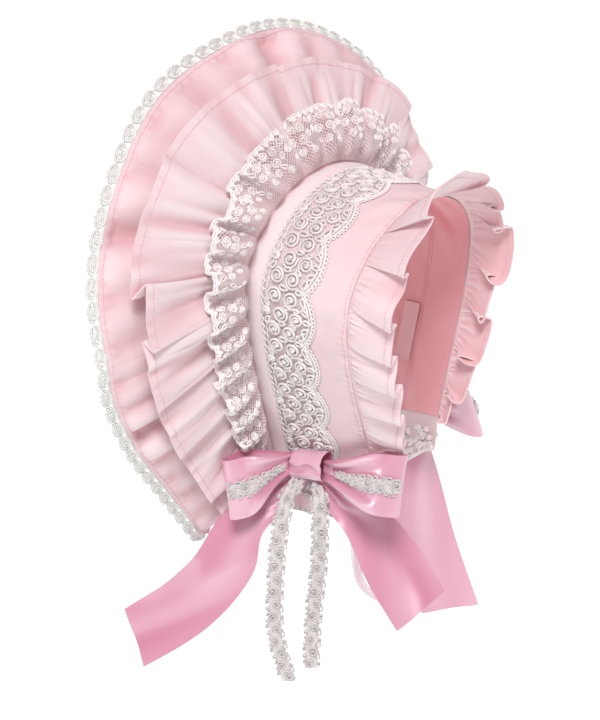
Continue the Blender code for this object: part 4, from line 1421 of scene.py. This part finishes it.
class HEADBAND_OT_bows(bpy.types.Operator):
    """Make the two satin bows with their lace and hanging ends"""

    bl_idname = "headband.make_bows"
    bl_label = "Bows"

    def execute(self, context):
        for hand, side in SIDES.items():
            self.knot(side, hand)
        for name, row in LOOPS.items():
            self.loop(name, row)
        for number, (name, rows) in enumerate(TAILS.items()):
            hand = hand_of(name)
            patch = tail_patch(SIDES[hand], rows, 21, 110, 1.1, number * 1.7)
            declare(self.ribbon(name, patch), [name])
        for name, rows in LACE_TAILS.items():
            hand = hand_of(name)
            patch = tail_patch(SIDES[hand], [row[:6] + (row[6] * LACE_SPREAD,) for row in rows], 9, 90)
            self.guipure(name, patch, 0.0002, "hung", f"knot_{hand}")
        return {"FINISHED"}

    def ribbon(self, name, patch, lift=0.5):
        sizes, _ = settings()
        return cloth_piece(f"{name}_ribbon", patch, sizes.satin_thick, finish_named("Satin ribbon"), lift)

    def loop(self, name, row):
        """One loop of a bow, and the corded lace along its middle."""
        hand = hand_of(name)
        turns = np.linspace(0.0, 1.0, 97)
        points = [[list(loop_point(SIDES[hand], row, a, t)) for t in turns] for a in np.linspace(-1, 1, 25)]
        patch = Patch(np.array(points))
        declare(self.ribbon(name, patch), [name])
        self.loop_lace(SIDES[hand], name, row)

    def knot(self, side, hand):
        """Ribbon wrapped round the middle of the bow, with a soft crease across its face."""
        deep, long, tall = (size / 2 for size in KNOT_SIZE)
        power = 0.62
        columns = []
        for turn in np.linspace(math.pi, -math.pi, 73):
            line = []
            for across in np.linspace(-1.0, 1.0, 21):
                out = math.copysign(abs(math.cos(turn)) ** power, math.cos(turn))
                up = math.copysign(abs(math.sin(turn)) ** power, math.sin(turn))
                wave = 0.10 * math.sin(5.0 * across + 1.0)
                crease = 0.0011 * math.exp(-((turn - 0.28 - wave) / 0.12) ** 2)
                crease -= 0.0008 * math.exp(-((turn - 0.02 - wave) / 0.14) ** 2)
                waist = 1.0 - 0.07 * math.cos(math.pi * across / 2) ** 2
                x = side * (KNOT_CENTRE[0] + (deep + crease) * out * waist)
                z = KNOT_CENTRE[2] + tall * up * waist
                line.append((x, KNOT_CENTRE[1] + long * across, z + 0.28 * long * across))
            columns.append(line)
        patch = Patch(np.array(columns).transpose(1, 0, 2), flip=side > 0)
        name = f"knot_{hand}"
        declare(self.ribbon(name, patch, lift=0.0), [name])

    def loop_lace(self, side, name, row):
        """Corded lace along the middle of a loop, over its outer fold."""
        half_width = 0.0058
        share = half_width / RIBBON_HALF_WIDTH
        turns = np.linspace(0.05, 0.52, 60)
        points = np.array([
            [list(loop_point(side, row, a * share, t, 0.0012 if t < 0.5 else 0.0008)) for t in turns]
            for a in np.linspace(-LACE_SPREAD, LACE_SPREAD, 9)])
        patch = Patch(points)
        if patch.normals[4, 30][0] * side < 0:
            patch = patch.back()
        self.guipure(name.replace("loop", "lace"), patch, 0.0001, "laid", name)

    def guipure(self, name, patch, lift, held, under):
        """A chain of corded roses with leaves at their sides, on a narrow net."""
        sizes, _ = settings()
        ground = Patch(patch.points[1:-1], flip=patch.flip)
        net = cloth_piece(f"{name}_net", ground, sizes.net_thick, finish_named("Close net"), lift=0.5)
        cords = Cords()
        faces = [patch] if held == "laid" else [patch, patch.back()]
        width = patch.width / MM
        rose_pitch = 11.0
        count = max(2, round(patch.length / MM / rose_pitch))
        step = patch.length / count
        cord = sizes.cord * 1.05
        for face in faces:
            for k in range(count):
                middle = (k + 0.5) * step
                side_step = 1.5 if k % 2 else -1.5
                lay(cords, face, rose(4.0 + 0.5 * math.sin(k * 2.6), 1.7, 16), middle, width / 2 + side_step, 70.0 * k,
                    cord, cord * 1.2, sides=4, lift=lift)
                lay(cords, face, ring(0.7, 4), middle, width / 2 + side_step, 0, cord, cord * 2.0, True, 4)
                for edge in (1.0, -1.0):
                    beside = middle + (0.46 + 0.04 * edge) * step
                    if beside < patch.length - 2.5 * MM:
                        across = width / 2 + edge * (width / 2 - 1.6)
                        lay(cords, face, ring(1.8 + 0.4 * edge, 7), beside, across, 0, cord * 0.85, cord, True, 4)
                    across = width / 2 - side_step + edge * (width / 2 - 0.6) * 0.9
                    place = middle + edge * 1.5 * MM
                    lay(cords, face, leaf(4.6, 7), place, across, 60.0 * edge, cord * 0.8, cord, True, 4)
        flowers = cords.piece(f"{name}_flowers", finish_named("Strip cord"), "lace")
        declare(net, [name])


class HEADBAND_OT_stage(bpy.types.Operator):
    """Make the floor, the soft lights and the camera"""

    bl_idname = "headband.make_stage"
    bl_label = "Stage"

    # Camera: turn and height in radians, distance, aim in the picture plane and metres for each pixel
    turn = math.pi / 2 + 0.613
    rise = 0.534
    distance = 1.5
    aim = (-0.0446, -0.06805)
    pixel = 0.000716
    picture = (600, 720)

    def execute(self, context):
        sizes, colours = settings()
        bpy.ops.object.select_all(action="DESELECT")
        bpy.ops.mesh.primitive_plane_add(size=14.0, location=(0.0, 0.0, sizes.floor_drop))
        floor = bpy.context.object
        floor.name = "floor"
        bpy.ops.object.transform_apply(location=True)
        floor.data.materials.append(self.floor_finish(tuple(colours.floor)))
        self.camera()
        world = bpy.data.worlds.new("Studio")
        world.use_nodes = True
        background = world.node_tree.nodes["Background"]
        background.inputs["Color"].default_value = (1.0, 0.74, 0.78, 1.0)
        background.inputs["Strength"].default_value = 0.43
        context.scene.world = world
        context.scene.view_settings.view_transform = "Standard"
        for name, strength, spread, towards in (
            ("key", 2.32, 0.30, (0.42, 0.24, 0.87)),
            ("left strip", 0.18, 0.08, (0.84, -0.52, -0.02)),
            ("right strip", 0.16, 0.12, (0.25, 0.95, 0.15)),
        ):
            self.lamp(name, strength, spread, Vector(towards))
        return {"FINISHED"}

    def floor_finish(self, colour):
        finish, tree, shader, coordinates = new_finish("Pale floor", 0.9, 0.0, 0.2)
        base = tinted(tree, dye_mask(tree, coordinates, 2.0), scaled(colour, 0.985), colour)
        tree.links.new(base, shader.inputs["Base Color"])
        shader.inputs["Emission Color"].default_value = (0.4, 1.0, 0.9, 1.0)
        shader.inputs["Emission Strength"].default_value = 0.30
        return finish

    def camera(self):
        right = Vector((math.cos(self.turn), math.sin(self.turn), 0.0))
        flat = math.cos(self.rise)
        back = Vector((math.sin(self.turn) * flat, -math.cos(self.turn) * flat, math.sin(self.rise)))
        up = back.cross(right)
        target = Vector((0.0, 0.0, -HEAD_RISE)) + right * self.aim[0] + up * self.aim[1]
        data = bpy.data.cameras.new("camera")
        camera = bpy.data.objects.new("camera", data)
        bpy.context.scene.collection.objects.link(camera)
        data.sensor_width = 36.0
        data.lens = 36.0 * self.distance / (self.pixel * self.picture[1])
        matrix = Matrix((right, up, back)).transposed().to_4x4()
        matrix.translation = target + back * self.distance
        camera.matrix_world = matrix
        bpy.context.scene.camera = camera

    def lamp(self, name, strength, spread, towards):
        """Broad even light from one direction."""
        data = bpy.data.lights.new(name, "SUN")
        data.energy = strength
        data.angle = spread
        lamp = bpy.data.objects.new(name, data)
        bpy.context.scene.collection.objects.link(lamp)
        lamp.location = towards
        lamp.rotation_euler = towards.to_track_quat("Z", "Y").to_euler()


class HEADBAND_PT_panel(bpy.types.Panel):
    """Buttons and settings of the headband"""

    bl_idname = "HEADBAND_PT_panel"
    bl_label = "Brimmed headband"
    bl_space_type = "VIEW_3D"
    bl_region_type = "UI"
    bl_category = "Headband"

    def draw(self, context):
        for maker in MAKERS:
            self.layout.operator(maker.bl_idname)
        for group in (context.scene.headband_sizes, context.scene.headband_colours):
            for field in group.__annotations__:
                self.layout.prop(group, field)


MAKERS = (
    HEADBAND_OT_brim,
    HEADBAND_OT_wide_frill,
    HEADBAND_OT_lace_frill,
    HEADBAND_OT_crown,
    HEADBAND_OT_crown_lace,
    HEADBAND_OT_back_frill,
    HEADBAND_OT_cuffs,
    HEADBAND_OT_bows,
    HEADBAND_OT_stage,
)
CLASSES = (HeadbandSizes, HeadbandColours, *MAKERS, HEADBAND_PT_panel)


def register():
    for item in CLASSES:
        bpy.utils.register_class(item)
    bpy.types.Scene.headband_sizes = bpy.props.PointerProperty(type=HeadbandSizes)
    bpy.types.Scene.headband_colours = bpy.props.PointerProperty(type=HeadbandColours)


def unregister():
    del bpy.types.Scene.headband_colours
    del bpy.types.Scene.headband_sizes
    for item in reversed(CLASSES):
        bpy.utils.unregister_class(item)


def main():
    register()
    bpy.ops.headband.make_brim()
    bpy.ops.headband.make_wide_frill()
    bpy.ops.headband.make_lace_frill()
    bpy.ops.headband.make_crown()
    bpy.ops.headband.make_crown_lace()
    bpy.ops.headband.make_back_frill()
    bpy.ops.headband.make_cuffs()
    bpy.ops.headband.make_bows()
    bpy.ops.headband.make_stage()


if __name__ == "__main__":
    main()
